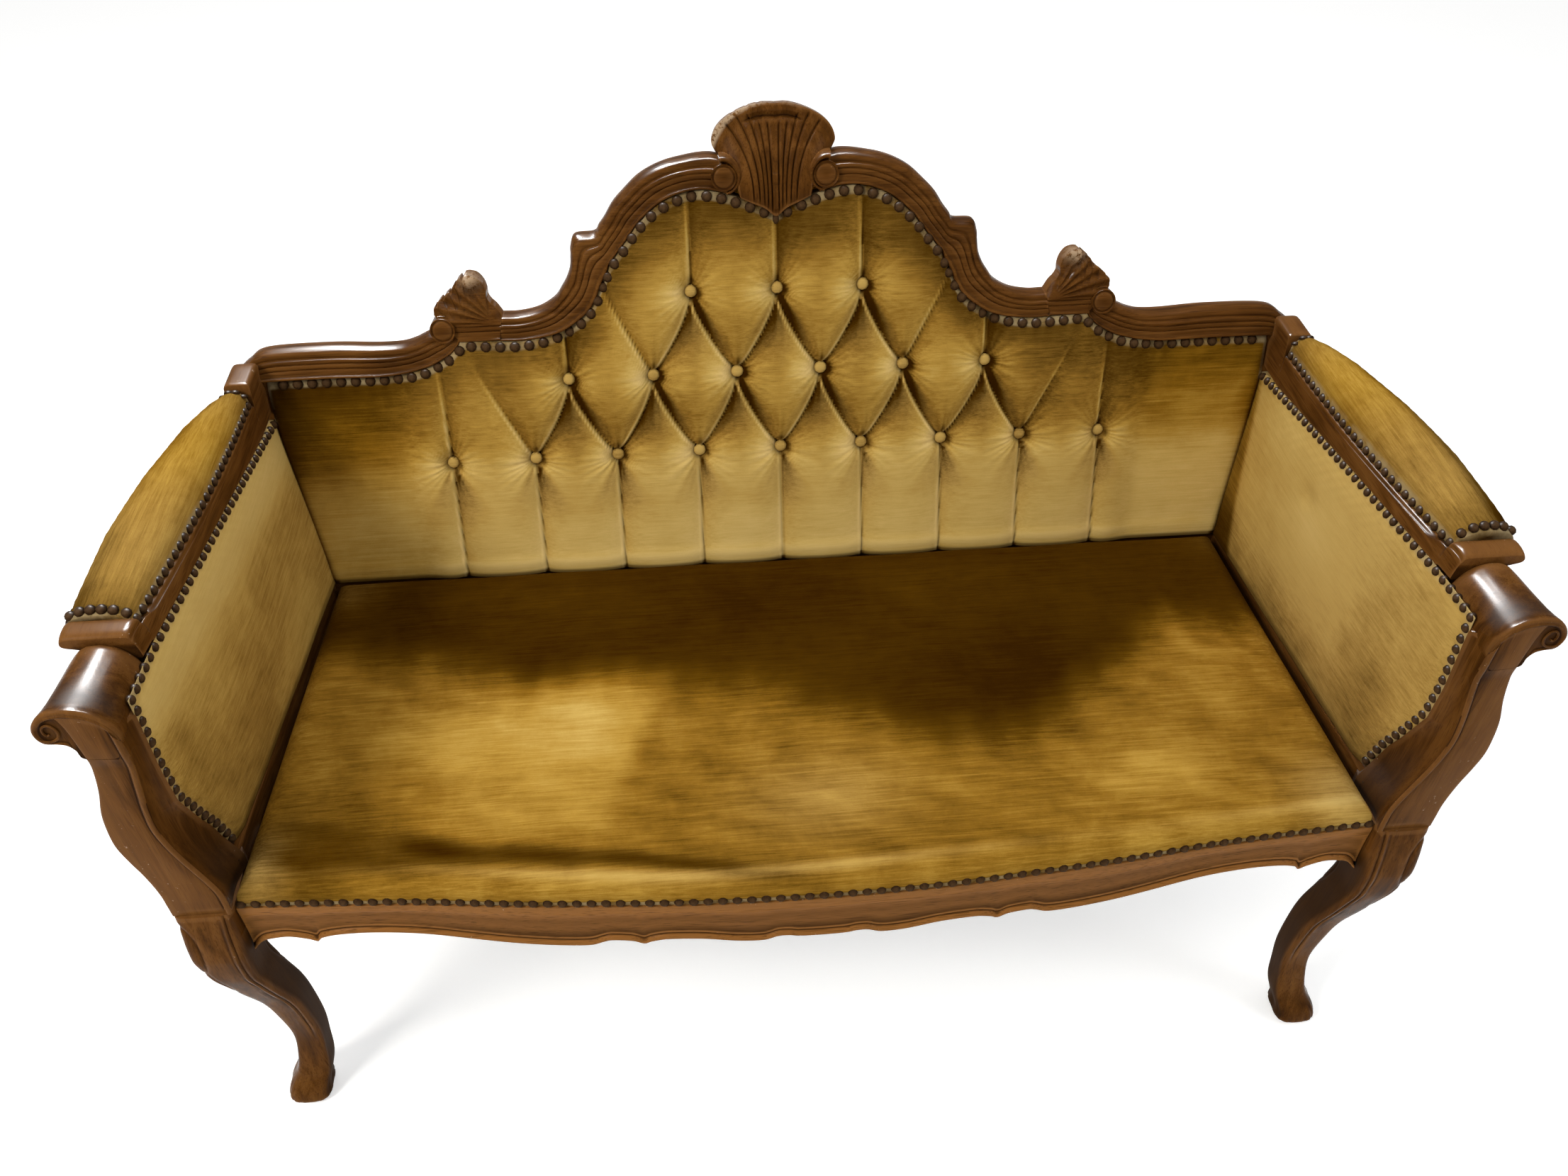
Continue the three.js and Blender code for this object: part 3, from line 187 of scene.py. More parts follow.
def slab(name, grid, moved, marks, side=1):
    """Closed block under a grid: its border moved by a rule, and a fan from the middle."""
    size = grid.shape[:2]
    number = np.arange(size[0] * size[1]).reshape(size)
    border = np.concatenate([number[0, :], number[1:, -1], number[-1, -2::-1], number[-2:0:-1, 0]])
    flat = grid.reshape(-1, 3)
    rim = moved(flat[border])
    points = np.vstack([flat, rim, rim.mean(axis=0, keepdims=True)])
    ring = len(flat) + np.arange(len(border))
    sides = np.stack([np.roll(border, -1), border, ring, np.roll(ring, -1)], axis=1)
    polys = [grid_quads(*size), sides, fan(ring, len(points) - 1)[:, ::-1]]
    spread = {key: np.broadcast_to(values, size).ravel() for key, values in marks.items()}
    full = {key: np.concatenate([values, values[border], [0]]) for key, values in spread.items()}
    return new_piece(name, points, polys, full, side)


def loft_parts(rings):
    """Closed tube through rings of equally many points, each end a fan to its middle."""
    rows, columns = rings.shape[:2]
    points = np.vstack([rings.reshape(-1, 3), rings[0].mean(axis=0), rings[-1].mean(axis=0)])
    count, first = rows * columns, np.arange(columns)
    return points, [grid_quads(rows, columns, True), fan(first, count)[:, ::-1],
                    fan(count - columns + first, count + 1)]


def combine(parts):
    """One set of points and faces from several, each turned to face out."""
    all_polys, start = [], 0
    for points, polys in parts:
        all_polys += [block + start for block in facing_out(points, polys)]
        start += len(points)
    return np.vstack([points for points, _ in parts]), all_polys


def mark_relief(piece, rounds, scale):
    """Marks ridges, rubbed and with a painted highlight, and hollows with painted shade: w = (p - mean of p around
    it) . n / scale in mm.
    """
    mesh = piece.data
    count = len(mesh.vertices)
    co, normal = np.empty(count * 3, np.float32), np.empty(count * 3, np.float32)
    mesh.vertices.foreach_get("co", co)
    mesh.vertices.foreach_get("normal", normal)
    co = co.reshape(-1, 3).astype(float)
    edges = np.empty(len(mesh.edges) * 2, np.int32)
    mesh.edges.foreach_get("vertices", edges)
    a, b = edges[0::2], edges[1::2]
    degree = np.maximum(np.bincount(edges, minlength=count), 1)[:, None]
    soft = co.copy()
    for _ in range(rounds):
        total = np.stack([np.bincount(a, soft[b, k], count) + np.bincount(b, soft[a, k], count)
                          for k in range(3)], axis=1)
        soft = 0.5 * soft + 0.5 * total / degree
    height = np.einsum("ij,ij->i", co - soft, normal.reshape(-1, 3)) / MM / scale
    set_marks(piece, {"worn_and_highlight": np.clip(height, 0, 1), "hollow_shade": np.clip(-height, 0, 1)})


def dress(piece, material, slot=None, *nodes):
    """Material of a piece, the body it rides on, and the nodes it stands for; its slot is not used."""
    piece.data.materials.append(material)
    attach(piece, "root")
    if nodes:
        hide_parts(*nodes)


def upholster(piece, material, node, slot="velvet"):
    """Padded piece: its cover and the node it stands for."""
    dress(piece, material, slot, node)


# Shader maths: sockets that add, multiply and compare like numbers
class Net:
    def __init__(self, name):
        self.material = bpy.data.materials.new(name)
        self.material.use_nodes = True
        self.tree = self.material.node_tree
        self.tree.nodes.clear()

    def node(self, kind, inputs, output=0, **settings):
        """One node of any kind: settings go on it, inputs on its sockets, and one output comes back."""
        made = self.tree.nodes.new(kind)
        for key, value in settings.items():
            setattr(made, key, value)
        for key, value in inputs.items():
            if isinstance(value, Sock):
                self.tree.links.new(value.socket, made.inputs[key])
            else:
                made.inputs[key].default_value = value
        return Sock(self, made.outputs[output]) if made.outputs else made

    def attribute(self, name):
        return self.node("ShaderNodeAttribute", {}, "Fac", attribute_name=name)

    def noise(self, scale, detail, rough, distort=0):
        """Noise on the Object coordinates, stretched by a scale for each axis."""
        at = self.node("ShaderNodeTexCoord", {}, "Object")
        at = self.node("ShaderNodeVectorMath", {0: at, 1: scale}, operation="MULTIPLY")
        return self.node("ShaderNodeTexNoise", {"Vector": at, "Scale": 1, "Detail": detail,
                                                "Roughness": rough, "Distortion": distort})

    def ramp(self, value, low, high):
        return self.node("ShaderNodeMapRange", {"Value": value, "From Min": low, "From Max": high}, clamp=True)

    def blend(self, factor, a, b):
        """Colour mixing: a at 0, b at 1."""
        return self.node("ShaderNodeMix", {0: factor, 6: a, 7: b}, 2, data_type="RGBA", blend_type="MIX")

    def bump(self, height, strength, distance):
        inputs = {"Height": height, "Strength": strength, "Distance": distance}
        return self.node("ShaderNodeBump", inputs, "Normal")

    def finish(self, **inputs):
        named = {key.replace("_", " "): value for key, value in inputs.items()}
        self.node("ShaderNodeOutputMaterial", {"Surface": self.node("ShaderNodeBsdfPrincipled", named)})
        return self.material


class Sock:
    """A socket in sums; the reflected forms are there so that 1 - mask works too."""

    def __init__(self, net, socket):
        self.net, self.socket = net, socket

    def _math(self, kind, first, second):
        return self.net.node("ShaderNodeMath", {0: first, 1: second}, operation=kind)

    def __add__(self, other):
        return self._math("ADD", self, other)

    def __mul__(self, other):
        return self._math("MULTIPLY", self, other)

    def __sub__(self, other):
        return self._math("SUBTRACT", self, other)

    def __rsub__(self, other):
        return self._math("SUBTRACT", other, self)

    def most(self, other):
        return self._math("MAXIMUM", self, other)

    __radd__, __rmul__ = __add__, __mul__


def rgba(*values):
    return (*values, 1)


def grained(across, along_axis, along):
    """Noise scale that is long along one axis, 0 for x, 1 for y, 2 for z, and fine across it."""
    return tuple(along if axis == along_axis else across for axis in range(3))


# Velvet: a mark from dark to bright that holds the velvet's own tone and painted light and shade, thin slub lines
# across, painted shade in the creases, and edges pale
# The brightest tone serves painted light, such as the back's lit low band.
VELVET_TONES = [rgba(0.034, 0.012, 0.0006), rgba(0.100, 0.045, 0.0022), rgba(0.258, 0.124, 0.008),
                rgba(0.450, 0.256, 0.034), rgba(0.640, 0.430, 0.115), rgba(0.880, 0.640, 0.250)]
VELVET_STEPS = [(0, 0.25), (0.25, 0.5), (0.5, 0.75), (0.75, 1.05), (1.05, 1.5)]
VELVET_BUFF, VELVET_FRAY = rgba(0.62, 0.435, 0.150), rgba(0.40, 0.31, 0.165)
VELVET_SHEEN = rgba(0.9, 0.66, 0.28)


def velvet(name, along, seed):
    """Velvet with its slub along an axis: a mark of the cloth's own tone and of painted light and shade, plus
    noise, picks the colour, and each tone is blended over the last.
    """
    net = Net(name)
    brushed = net.noise((6 + seed, 6.5, 7), 6, 0.62, 0.5)
    blotches = net.noise((31, 29 + seed, 30), 5, 0.65, 0.3)
    slub = net.noise(grained(640, along, 20), 3, 0.6)
    long_slub = net.noise(grained(215, along, 11), 4, 0.66)
    fibre = net.noise((1900,) * 3, 2, 0.6)
    # This mark holds the velvet's own patches and the painted light and shade of each piece.
    pile_and_painted_light = net.attribute("nap")
    grain = (brushed - 0.5) * 0.62 + (blotches - 0.5) * 0.24 + (slub - 0.5) * 0.42 + (long_slub - 0.5) * 0.36
    nap = pile_and_painted_light + (grain + (fibre - 0.5) * 0.3) * (net.ramp(pile_and_painted_light, 0.08, 0.42) * 0.62 + 0.38)
    colour = VELVET_TONES[0]
    for (low, high), tone in zip(VELVET_STEPS, VELVET_TONES[1:]):
        colour = net.blend(net.ramp(nap, low, high), colour, tone)
    colour = net.blend(net.attribute("buff") * net.ramp(nap, 0.1, 0.7) * 0.75, colour, VELVET_BUFF)
    # Painted shade in the creases, grooves and crevices.
    colour = net.blend(net.attribute("crease"), colour, VELVET_TONES[0])
    colour = net.blend(net.attribute("edge") * net.ramp(blotches, 0.35, 0.6) * 0.7, colour, VELVET_FRAY)
    return net.finish(Base_Color=colour, Roughness=0.95, Specular_IOR_Level=0, Sheen_Weight=0.015,
                      Sheen_Roughness=0.4, Sheen_Tint=VELVET_SHEEN,
                      Normal=net.bump(slub * 0.5 + fibre * 0.5, 0.45, 0.0006))


# Walnut: figure along the grain, painted shade in the hollows, rubbed edges with a painted highlight and pale
# chips
WOOD_DARK, WOOD_MID = rgba(0.028, 0.0095, 0.0018), rgba(0.108, 0.0405, 0.0074)
WOOD_LIGHT, RAIL_LIGHT = rgba(0.190, 0.080, 0.018), rgba(0.30, 0.125, 0.030)
WOOD_HOLLOW_SHADE, WOOD_SHADE = rgba(0.014, 0.0055, 0.0018), rgba(0.026, 0.011, 0.003)
WOOD_WORN_AND_HIGHLIGHT, WOOD_CHIP = rgba(0.24, 0.105, 0.030), rgba(0.50, 0.36, 0.22)


def walnut(name, along, seed=0, lift=0, light=WOOD_LIGHT):
    """Wood whose grain runs along an axis; lift raises the share of the light tone."""
    net = Net(name)
    figure = net.noise(grained(95 + seed, along, 7 + seed), 5, 0.6, 0.8)
    pores = net.noise(grained(900, along, 26), 2, 0.5)
    clouds = net.noise((9 + seed, 9, 9), 3, 0.5)
    chips = net.noise((210, 190, 200), 5, 0.7)
    hollow_shade, worn_and_highlight, shade, bare = (net.attribute(key) for key in ("hollow_shade", "worn_and_highlight", "shade", "bare"))
    tone = figure * 0.7 + clouds * 0.5 + (lift - 0.1)
    chipped = (net.ramp(worn_and_highlight, 0.45, 0.9) * net.ramp(chips, 0.66, 0.71)).most(bare * net.ramp(chips, 0.4, 0.5))
    colour = WOOD_DARK
    # Painted shade in the hollows and the shaded places; ridges paler, rubbed and with a painted highlight.
    for factor, over in ((net.ramp(tone, 0.25, 0.52), WOOD_MID), (net.ramp(tone, 0.5, 0.8), light),
                         (net.ramp(pores, 0.54, 0.68) * 0.5, WOOD_DARK), (hollow_shade * 0.8, WOOD_HOLLOW_SHADE),
                         (net.ramp(worn_and_highlight, 0.25, 1) * 0.42, WOOD_WORN_AND_HIGHLIGHT), (shade * 0.8, WOOD_SHADE),
                         (chipped * 0.8, WOOD_CHIP)):
        colour = net.blend(factor, colour, over)
    rough = (clouds - 0.5) * 0.2 + 0.24 + hollow_shade * 0.35 + chipped * 0.3 + shade * 0.3
    return net.finish(Base_Color=colour, Roughness=rough, Specular_IOR_Level=0.021,
                      Normal=net.bump(pores * -0.4 + figure * 0.6, 0.22, 0.0005))


def nail_bronze():
    """Dark bronze, a little paler on the domes' tops, rubbed and with a painted highlight."""
    net = Net("antique_nail")
    patina = net.noise((420, 430, 410), 3, 0.6)
    colour = net.blend(net.ramp(patina, 0.35, 0.65), rgba(0.014, 0.0065, 0.0026), rgba(0.044, 0.022, 0.009))
    colour = net.blend(net.attribute("worn_and_highlight") * 0.4, colour, rgba(0.13, 0.07, 0.03))
    return net.finish(Base_Color=colour, Metallic=0, Specular_IOR_Level=0.014,
                      Roughness=net.ramp(patina, 0.2, 0.8) * 0.2 + 0.32)


def plain_cloth(name, colour, weave):
    """Cloth of one colour, 0.7 of it between the threads."""
    net = Net(name)
    threads = net.noise((weave,) * 3, 2, 0.5)
    shade = net.blend(net.ramp(threads, 0.3, 0.7), rgba(*(v * 0.7 for v in colour)), rgba(*colour))
    return net.finish(Base_Color=shade, Roughness=0.95, Sheen_Weight=0.1, Normal=net.bump(threads, 0.3, 0.0005))


velvet_across = velvet("gold_velvet_across", 0, 0)
velvet_along = velvet("gold_velvet_along", 1, 0.7)
walnut_x = walnut("walnut_grain_x", 0)
walnut_y = walnut("walnut_grain_y", 1, 0.4)
walnut_z = walnut("walnut_grain_z", 2, 0.8)
# A paler copy of the walnut for the front rail: painted light on its front.
walnut_front_lit = walnut("walnut_front_rail_lit", 0, 0.3, 0.4, RAIL_LIGHT)
beech = walnut("plain_beech", 0, 0.2)
antique_nail = nail_bronze()
lining_cloth = plain_cloth("black_lining", (0.020, 0.018, 0.016), 900)
jute_webbing = plain_cloth("jute_webbing", (0.30, 0.21, 0.11), 700)

# The back: outline under the crest, and the buttons' places
WING_LOWER = [(1.022, 0.481), (0.99, 0.482), (0.955, 0.485), (0.85, 0.486), (0.76, 0.484), (0.71, 0.49),
              (0.684, 0.497), (0.663, 0.504), (0.642, 0.516), (0.62, 0.532), (0.6045, 0.552)]
WING_UPPER = [(1.03, 0.505), (1.003, 0.53), (0.965, 0.552), (0.85, 0.556), (0.76, 0.551), (0.715, 0.552),
              (0.69, 0.559), (0.674, 0.567), (0.662, 0.573), (0.65, 0.574), (0.638, 0.572)]
VOLUTE_OUTER = [(0.6005, 0.572), (0.6025, 0.592), (0.611, 0.607), (0.6235, 0.616), (0.637, 0.6165)]
VOLUTE_INNER = [(0.624, 0.574), (0.6195, 0.586), (0.6215, 0.597), (0.6285, 0.603), (0.637, 0.6035)]
LEAF_FOOT = [(0.603, 0.558), (0.584, 0.5575), (0.565, 0.5565), (0.547, 0.5555), (0.5272, 0.5542)]
LEAF_RIM = [(0.645, 0.62), (0.641, 0.634), (0.63, 0.648), (0.618, 0.659), (0.606, 0.671), (0.595, 0.688),
            (0.578, 0.702), (0.5596, 0.6995), (0.548, 0.685), (0.543, 0.667), (0.5425, 0.65), (0.537, 0.638),
            (0.529, 0.628), (0.5192, 0.6095)]
ARCH_LOWER = [(0.527, 0.554), (0.492, 0.553), (0.46, 0.556), (0.43, 0.562), (0.405, 0.572), (0.38, 0.59),
              (0.358, 0.61), (0.342, 0.636), (0.329, 0.67), (0.318, 0.69), (0.31, 0.714), (0.296, 0.734),
              (0.275, 0.764), (0.257, 0.792), (0.238, 0.814), (0.217, 0.834), (0.195, 0.848), (0.17, 0.858),
              (0.145, 0.863), (0.12, 0.862), (0.1, 0.857), (0.08, 0.85)]
ARCH_UPPER = [(0.519, 0.609), (0.487, 0.609), (0.45, 0.618), (0.42, 0.638), (0.405, 0.66), (0.393, 0.682),
              (0.385, 0.706), (0.382, 0.732), (0.38, 0.752), (0.37, 0.774), (0.335, 0.778), (0.325, 0.792),
              (0.313, 0.81), (0.297, 0.838), (0.275, 0.864), (0.25, 0.89), (0.223, 0.908), (0.195, 0.92),
              (0.167, 0.927), (0.14, 0.932), (0.118, 0.933), (0.102, 0.93)]
SHELL_FOOT = [(0.064, 0.846), (0.045, 0.835), (0.02, 0.822), (0, 0.806)]
SHELL_RIM = [(0.106, 0.937), (0.1115, 0.955), (0.104, 0.98), (0.085, 1.0015), (0.056, 1.0185), (0.027, 1.028),
             (0, 1.0285)]
WING_EYE, ARCH_EYE = (0.6305, 0.585), (0.0925, 0.888)
UNDER_CREST = placed(WING_LOWER + LEAF_FOOT + ARCH_LOWER + SHELL_FOOT[1:])[::-1]
PITCH, ROW_RISE, FIRST_ROW = 97.98, 95, 571
BUTTONS = [(row, i, (i - (count - 1) / 2) * PITCH, FIRST_ROW + ROW_RISE * row)
           for row, count in enumerate((9, 6, 3)) for i in range(count)]
OUTERMOST = (372, 225, 78)
RAIL_TOP, PAD_FOOT, PAD_SIDE, PAD_SIDE_TOP, PAD_REAR = 424, 557.1, 585.1, 635, -20


def crest_height(x):
    """Height of the crest's lower edge over a place across the back."""
    return read(UNDER_CREST, np.abs(x))


def pleats():
    """Pleats as a, b, sink at a and at b, groove, hang k: the line is x = a + (b - a) t^k."""
    made = []
    for row, _, x, z in BUTTONS:
        side = np.sign(x)
        near = [b[2:] for b in BUTTONS if b[0] == row + 1 and abs(b[2] - x) < PITCH]
        made += [(*above, x, z, 12, 12, 1, 1.5) for above in near]
        if row == 0:
            made.append((x, z, x + 2 * side, SEAT - 20, 11, 7, 0.85, 1))
        if abs(x) > OUTERMOST[row] or row == 2:
            made.append((x - 3 * side, z + 150, x, z, 3, 12, 0.75, 1.6))
        elif not all(any(above[0] * s > x * s for above in near) for s in (1, -1)):
            made.append((x + side * 62, z + 138, x, z, 3, 11, 0.75, 1.1))
    return made


def pleat_space(x, z, ax, az, bx, bz, hang):
    """Place by a hanging line: s = (x - X(z)) cos f across it, the distance to it, and travel t from a."""
    t = np.clip((az - z) / (az - bz), 0, 1)
    slope = (bx - ax) / (az - bz) * hang * np.maximum(t, 0.15) ** (hang - 1)
    across = (x - mix(ax, bx, t**hang)) / np.sqrt(1 + slope**2)
    return across, np.hypot(across, np.maximum(np.maximum(z - az, bz - z), 0)), t


def back_relief(x, z):
    """Stuffed back: h = crown + 2 foot - 1.15 sink - 1.6 groove + 1.1 fold + 1.4 rays - 9 e^(-(r/12)^2).

    Gathers and slow waves are added, and 6 e^(-d/10) is taken off towards the edge.
    """
    sink, groove, fold, tone, beside, under, rays, slit = np.zeros((8, *x.shape))
    for *line, sink_a, sink_b, shown, hang in pleats():
        across, d, t = pleat_space(x, z, *line, hang)
        sink = np.maximum(sink, mix(sink_a, sink_b, smooth(0, 1, t)) * fade(d, 15))
        shown = shown * mix(smooth(0, 0.8, t), 1, float(sink_a > 5))
        groove = np.maximum(groove, shown * bell(d, 1.25))
        # Painted light on the left of each pleat and painted shade on its right; the fold's rise also carries a
        # painted highlight along its edge.
        flank = np.where(across > 0, -fade(across, 15), fade(-across, 12))
        tone = tone + flank * shown * bell(d - np.abs(across), 2)
        fold = np.maximum(fold, shown * bell(across + 2.9, 1.5) * bell(d - 2.9, 2))
    near = np.full_like(x, 1e3)
    for _, i, bx, bz in BUTTONS:
        dx, dz = x - bx, z - bz
        r, turn = np.hypot(dx, dz) + 1e-6, np.arctan2(dz, dx)
        # Painted highlight beside each button, and painted shade below it.
        glow = np.abs(np.cos(turn)) ** 2.5 * smooth(7, 16, r) * bell(r - 12, 30)
        beside = np.maximum(beside, glow)
        under = np.maximum(under, smooth(0.76, 0.93, -np.sin(turn)) * smooth(6, 12, r) * bell(r, 58))
        spokes = np.sin(turn * 23 + 2.1 * np.sin(turn * 5 + i) + i) * fade(r, 19) * smooth(6, 11, r)
        rays = np.where(r < near, spokes, rays)
        near = np.minimum(near, r)
        # Painted shadow in the pleat's opening above each button and on its right.
        for shadow_drop in ((1, 1.5, 3, 12, 6), (1, 9, 2.4, -2, 4.8)):
            slit = np.maximum(slit, spots(dx, dz, shadow_drop))
    tufted = smooth(450, 405, np.abs(x))
    inside = np.maximum(np.minimum(crest_height(x) - z, (PAD_SIDE - np.abs(x)) * 2 + 8), 0)
    gathers = np.sin(x * TURN / 16.2 + 1.7 * np.sin(x / 23)) * fade(inside, 15)
    foot = bell(z - SEAT, 9) * (0.5 + 0.5 * tufted)
    height = mix(1, 9, tufted) + 2 * foot - 1.15 * sink - 1.6 * groove + 1.1 * fold
    height += 1.4 * rays + 0.35 * gathers + 0.5 * np.sin(x / 61 + 1) * np.sin(z / 37)
    height -= 9 * bell(near, 12) + 6 * fade(inside, 10)
    return height, (groove, fold, near, beside, under, rays, tone, gathers, slit, inside, foot, tufted)


def back_velvet():
    """Velvet of the back: p = lean(u W(z), z, relief), u across and v up to the crest's line."""
    beyond = np.linspace(0.78, 1, 33)[1:]
    u = np.concatenate([-beyond[::-1], np.linspace(-0.78, 0.78, 374), beyond])
    v = np.linspace(0, 1, 222)[:, None]
    z = mix(RAIL_TOP + GAP * 2, crest_height(u * PAD_SIDE) - GAP, v)
    x = u * np.interp(z, [RAIL_TOP, PAD_SIDE_TOP], [PAD_FOOT, PAD_SIDE])
    height, looks = back_relief(x, z)
    groove, fold, near, beside, under, rays, tone, gathers, slit, inside, foot, tufted = looks
    grid = lean(x, z, height)
    grid[..., 2] = np.maximum(grid[..., 2], RAIL_TOP + GAP)
    low_band = smooth(600, 520, z)
    # Painted light and shade in this mark: the low band lit, painted shade towards the crest and the sides and at
    # the left end, a little painted light at the right end, painted highlights beside the buttons and along the
    # folds, painted light and shade on the spokes, painted shade under the buttons and on the pleats' right.
    nap = (0.57 + 0.50 * low_band - 0.33 * smooth(90, 0, inside)
           + 0.05 * np.sin(x / 117 + 0.6) * np.sin(z / 71)
           + 0.42 * beside - 0.50 * under + 0.22 * rays + 0.04 * gathers + 0.34 * tone + 0.7 * fold
           - 0.16 * bell(z - 520, 26) * tufted + 0.16 * smooth(0.5, 1, foot)
           - 0.22 * smooth(-400, -585, x) * (1 - 0.6 * low_band)
           - 0.22 * low_band * smooth(-330, -470, x) + 0.06 * smooth(400, 520, x))
    # More buff in the lit low band, at the foot and in the painted shade under the buttons; less at the ends.
    buff = (0.22 + 0.26 * low_band + 0.45 * under + 0.35 * smooth(0.3, 1, foot)
            - 0.2 * smooth(370, 490, np.abs(x)))
    # Painted shadow round each button and in the pleat's opening; painted shade in the grooves, where the back
    # meets the seat, and at its sides.
    hole = np.maximum(bell(np.maximum(near - 6, 0), 3.4), slit)
    crease = 0.72 * groove + 0.8 * hole + 0.8 * smooth(432, 427, z) + 0.5 * smooth(0.985, 1, np.abs(u))

    def behind(p):
        """Border carried back to the pad's rear plane, by 1 mm at least."""
        before = -(p[:, 1] - (p[:, 2] - SEAT) * TAN) * COS
        return p + np.minimum(PAD_REAR - before, -1)[:, None] * [0, -COS, SIN]

    marks = {"nap": nap, "buff": np.clip(buff, 0, 1), "edge": smooth(10.5, 7.5, inside),
             "crease": np.clip(crease, 0, 1)}
    upholster(slab("back_velvet", grid, behind, marks), velvet_across, "back_pad")


# The seat: serpentine front, crowned top, rolled front edge
SEAT_SIDE, SEAT_BOW, SEAT_FRONT_HALF, SEAT_BACK_HALF = 450, 39, 586, 558
SEAT_TOP, LIP_FOOT, LIP_ROWS = 433, 401.6, 8
BOW = table((0, 1), (0.14, 0.97), (0.26, 0.9), (0.37, 0.77), (0.49, 0.64), (0.6, 0.47), (0.68, 0.31),
            (0.84, 0.15), (0.92, 0.08), (1, 0))
SEAT_LINE = table((-600, -118), (-540, -124), (-450, -146), (-352, -168), (-300, -204), (-266, -196),
                  (-225, -184), (-150, -206), (-75, -222), (0, -243), (60, -272), (135, -308), (210, -314),
                  (262, -292), (337, -240), (397, -188), (450, -146), (525, -166), (570, -148), (600, -140))
STREAK_LINE = table((-430, -418), (-262, -441), (-180, -450), (-70, -474), (20, -484))


def front_depth(x):
    """Plan of the front: y = -450 - 39 b(|x|/586)."""
    return -SEAT_SIDE - SEAT_BOW * read(BOW, np.abs(x) / SEAT_FRONT_HALF)


def soft_front(x):
    """The same plan with its corners eased over 30 mm."""
    return sum(front_depth(x + d) for d in (-30, -15, 0, 15, 30)) / 5


def seat_tone(x, y):
    """Nap of the seat: dark behind a wandering line, brushed in front of it, paler along the front."""
    sway = 5 * np.sin(x / 19 + 1) + 4 * np.sin(x / 7.3) + 3 * np.sin(x / 47 + y / 31)
    dark = smooth(-66, 34, y - read(SEAT_LINE, x) + sway)
    clear = smooth(16, -16, x + 146 - 0.33 * (y + 197))
    streak = bell(y - read(STREAK_LINE, x), 9 + 6 * smooth(-150, -350, x))
    streak = streak * smooth(-455, -380, x) * smooth(20, -60, x)
    brushed = np.sin(x / 16 + y / 9 + 2 * np.sin(y / 33)) * np.sin(x / 53 - y / 27)
    middle = spots(x, y, (1, 10, 75, -392, 45))
    nap = 0.46 + clear * spots(x, y, (0.38, -232, 82, -268, 82), (0.20, -320, 120, -390, 42))
    nap = nap + spots(x, y + 0.25 * (x + 370), (0.24, -370, 115, -285, 62))
    nap = nap + spots(x, y, (0.18, 372, 78, -385, 40), (0.09, 480, 90, -250, 90),
                      (-0.34, -500, 110, -418, 50))
    nap = nap + 0.10 * middle + 0.05 * brushed * (1 - dark) - 0.36 * streak
    deep = 0.07 + 0.05 * smooth(300, 520, x) + 0.05 * np.sin(x / 88 + 2) * np.sin(y / 49)
    to_front = y - soft_front(x)
    band = bell(to_front - 17 - 3 * np.sin(x / 90), 5.5) * (0.55 + 0.45 * np.sin(x / 131 + 2.4))
    haze = (0.7 * bell(x + 530, 60) * smooth(-110, -30, y)
            + 0.5 * bell(x - 560, 50) * smooth(-90, -20, y))
    corners = spots(x, y, (0.8, -560, 26, -425, 30), (0.7, 555, 45, -425, 36))
    nap = mix(nap, deep, dark) + 0.22 * band + 0.10 * smooth(26, 6, to_front) + 0.20 * haze + 0.12 * corners
    buff = np.clip(0.10 + 0.5 * band + 0.6 * haze + corners + 0.3 * middle, 0, 1)
    return nap, buff * (1 - dark * (1 - np.clip(haze, 0, 1)))


def seat_velvet():
    """Seat: y from back to front by depth share, z = 433 + crown - (1 - edge) fall."""
    u, rows = np.linspace(-1, 1, 360), 190
    across = np.sin(u * 0.46 * PI) / math.sin(0.46 * PI)
    depth = (1 - np.cos(np.linspace(0, PI, rows)[:, None])) / 2
    seat_back = (RAIL_TOP - SEAT) * TAN - 6 / COS - GAP
    front = soft_front(across * SEAT_FRONT_HALF)
    y = mix(seat_back, front, depth)
    half = mix(SEAT_BACK_HALF, SEAT_FRONT_HALF, np.clip(-y / SEAT_SIDE, 0, 1)) - 4
    x = across * half
    edge = 1
    for distance, band in ((y - front, 30), ((1 - np.abs(across)) * half, 26), (seat_back - y, 10)):
        edge = np.minimum(edge, np.sqrt(np.clip(1 - (1 - np.clip(distance / band, 0, 1)) ** 2, 0, 1)))
    waves = 0.9 * np.sin(x / 83 + 0.7) * np.sin(y / 61) + 0.5 * np.sin(x / 27 + y / 55)
    pull = 0.4 * np.sin(x * TURN / 15) * fade(np.clip(y - front, 0, 99), 14) * (edge < 0.98)
    z = SEAT_TOP + 9 * hump(1 - depth) * (1 - across**4) - (1 - edge) * 21 + waves * edge + pull
    fall = np.linspace(0, 1, LIP_ROWS + 1)[1:, None]
    lip = joined(x[-1], y[-1] - 0.4 * hump(fall), mix(z[-1], LIP_FOOT, fall))
    grid = np.vstack([joined(x, y, z), lip])
    nap, buff = seat_tone(grid[..., 0], grid[..., 1])
    on_lip = np.arange(rows + LIP_ROWS)[:, None] - rows
    # Painted shade along the seat's sides, where they meet the arms.
    side_dark = np.pad(smooth(10, 2, (1 - np.abs(u)) * half), ((0, LIP_ROWS), (0, 0)), mode="edge")
    marks = {"nap": np.where(on_lip > 1, 0.30, nap), "buff": buff, "crease": 0.8 * side_dark,
             "edge": on_lip > 2}
    piece = slab("seat_velvet", grid, lambda p: joined(p[:, 0], p[:, 1], LIP_FOOT - GAP), marks)
    upholster(piece, velvet_across, "seat_pad")


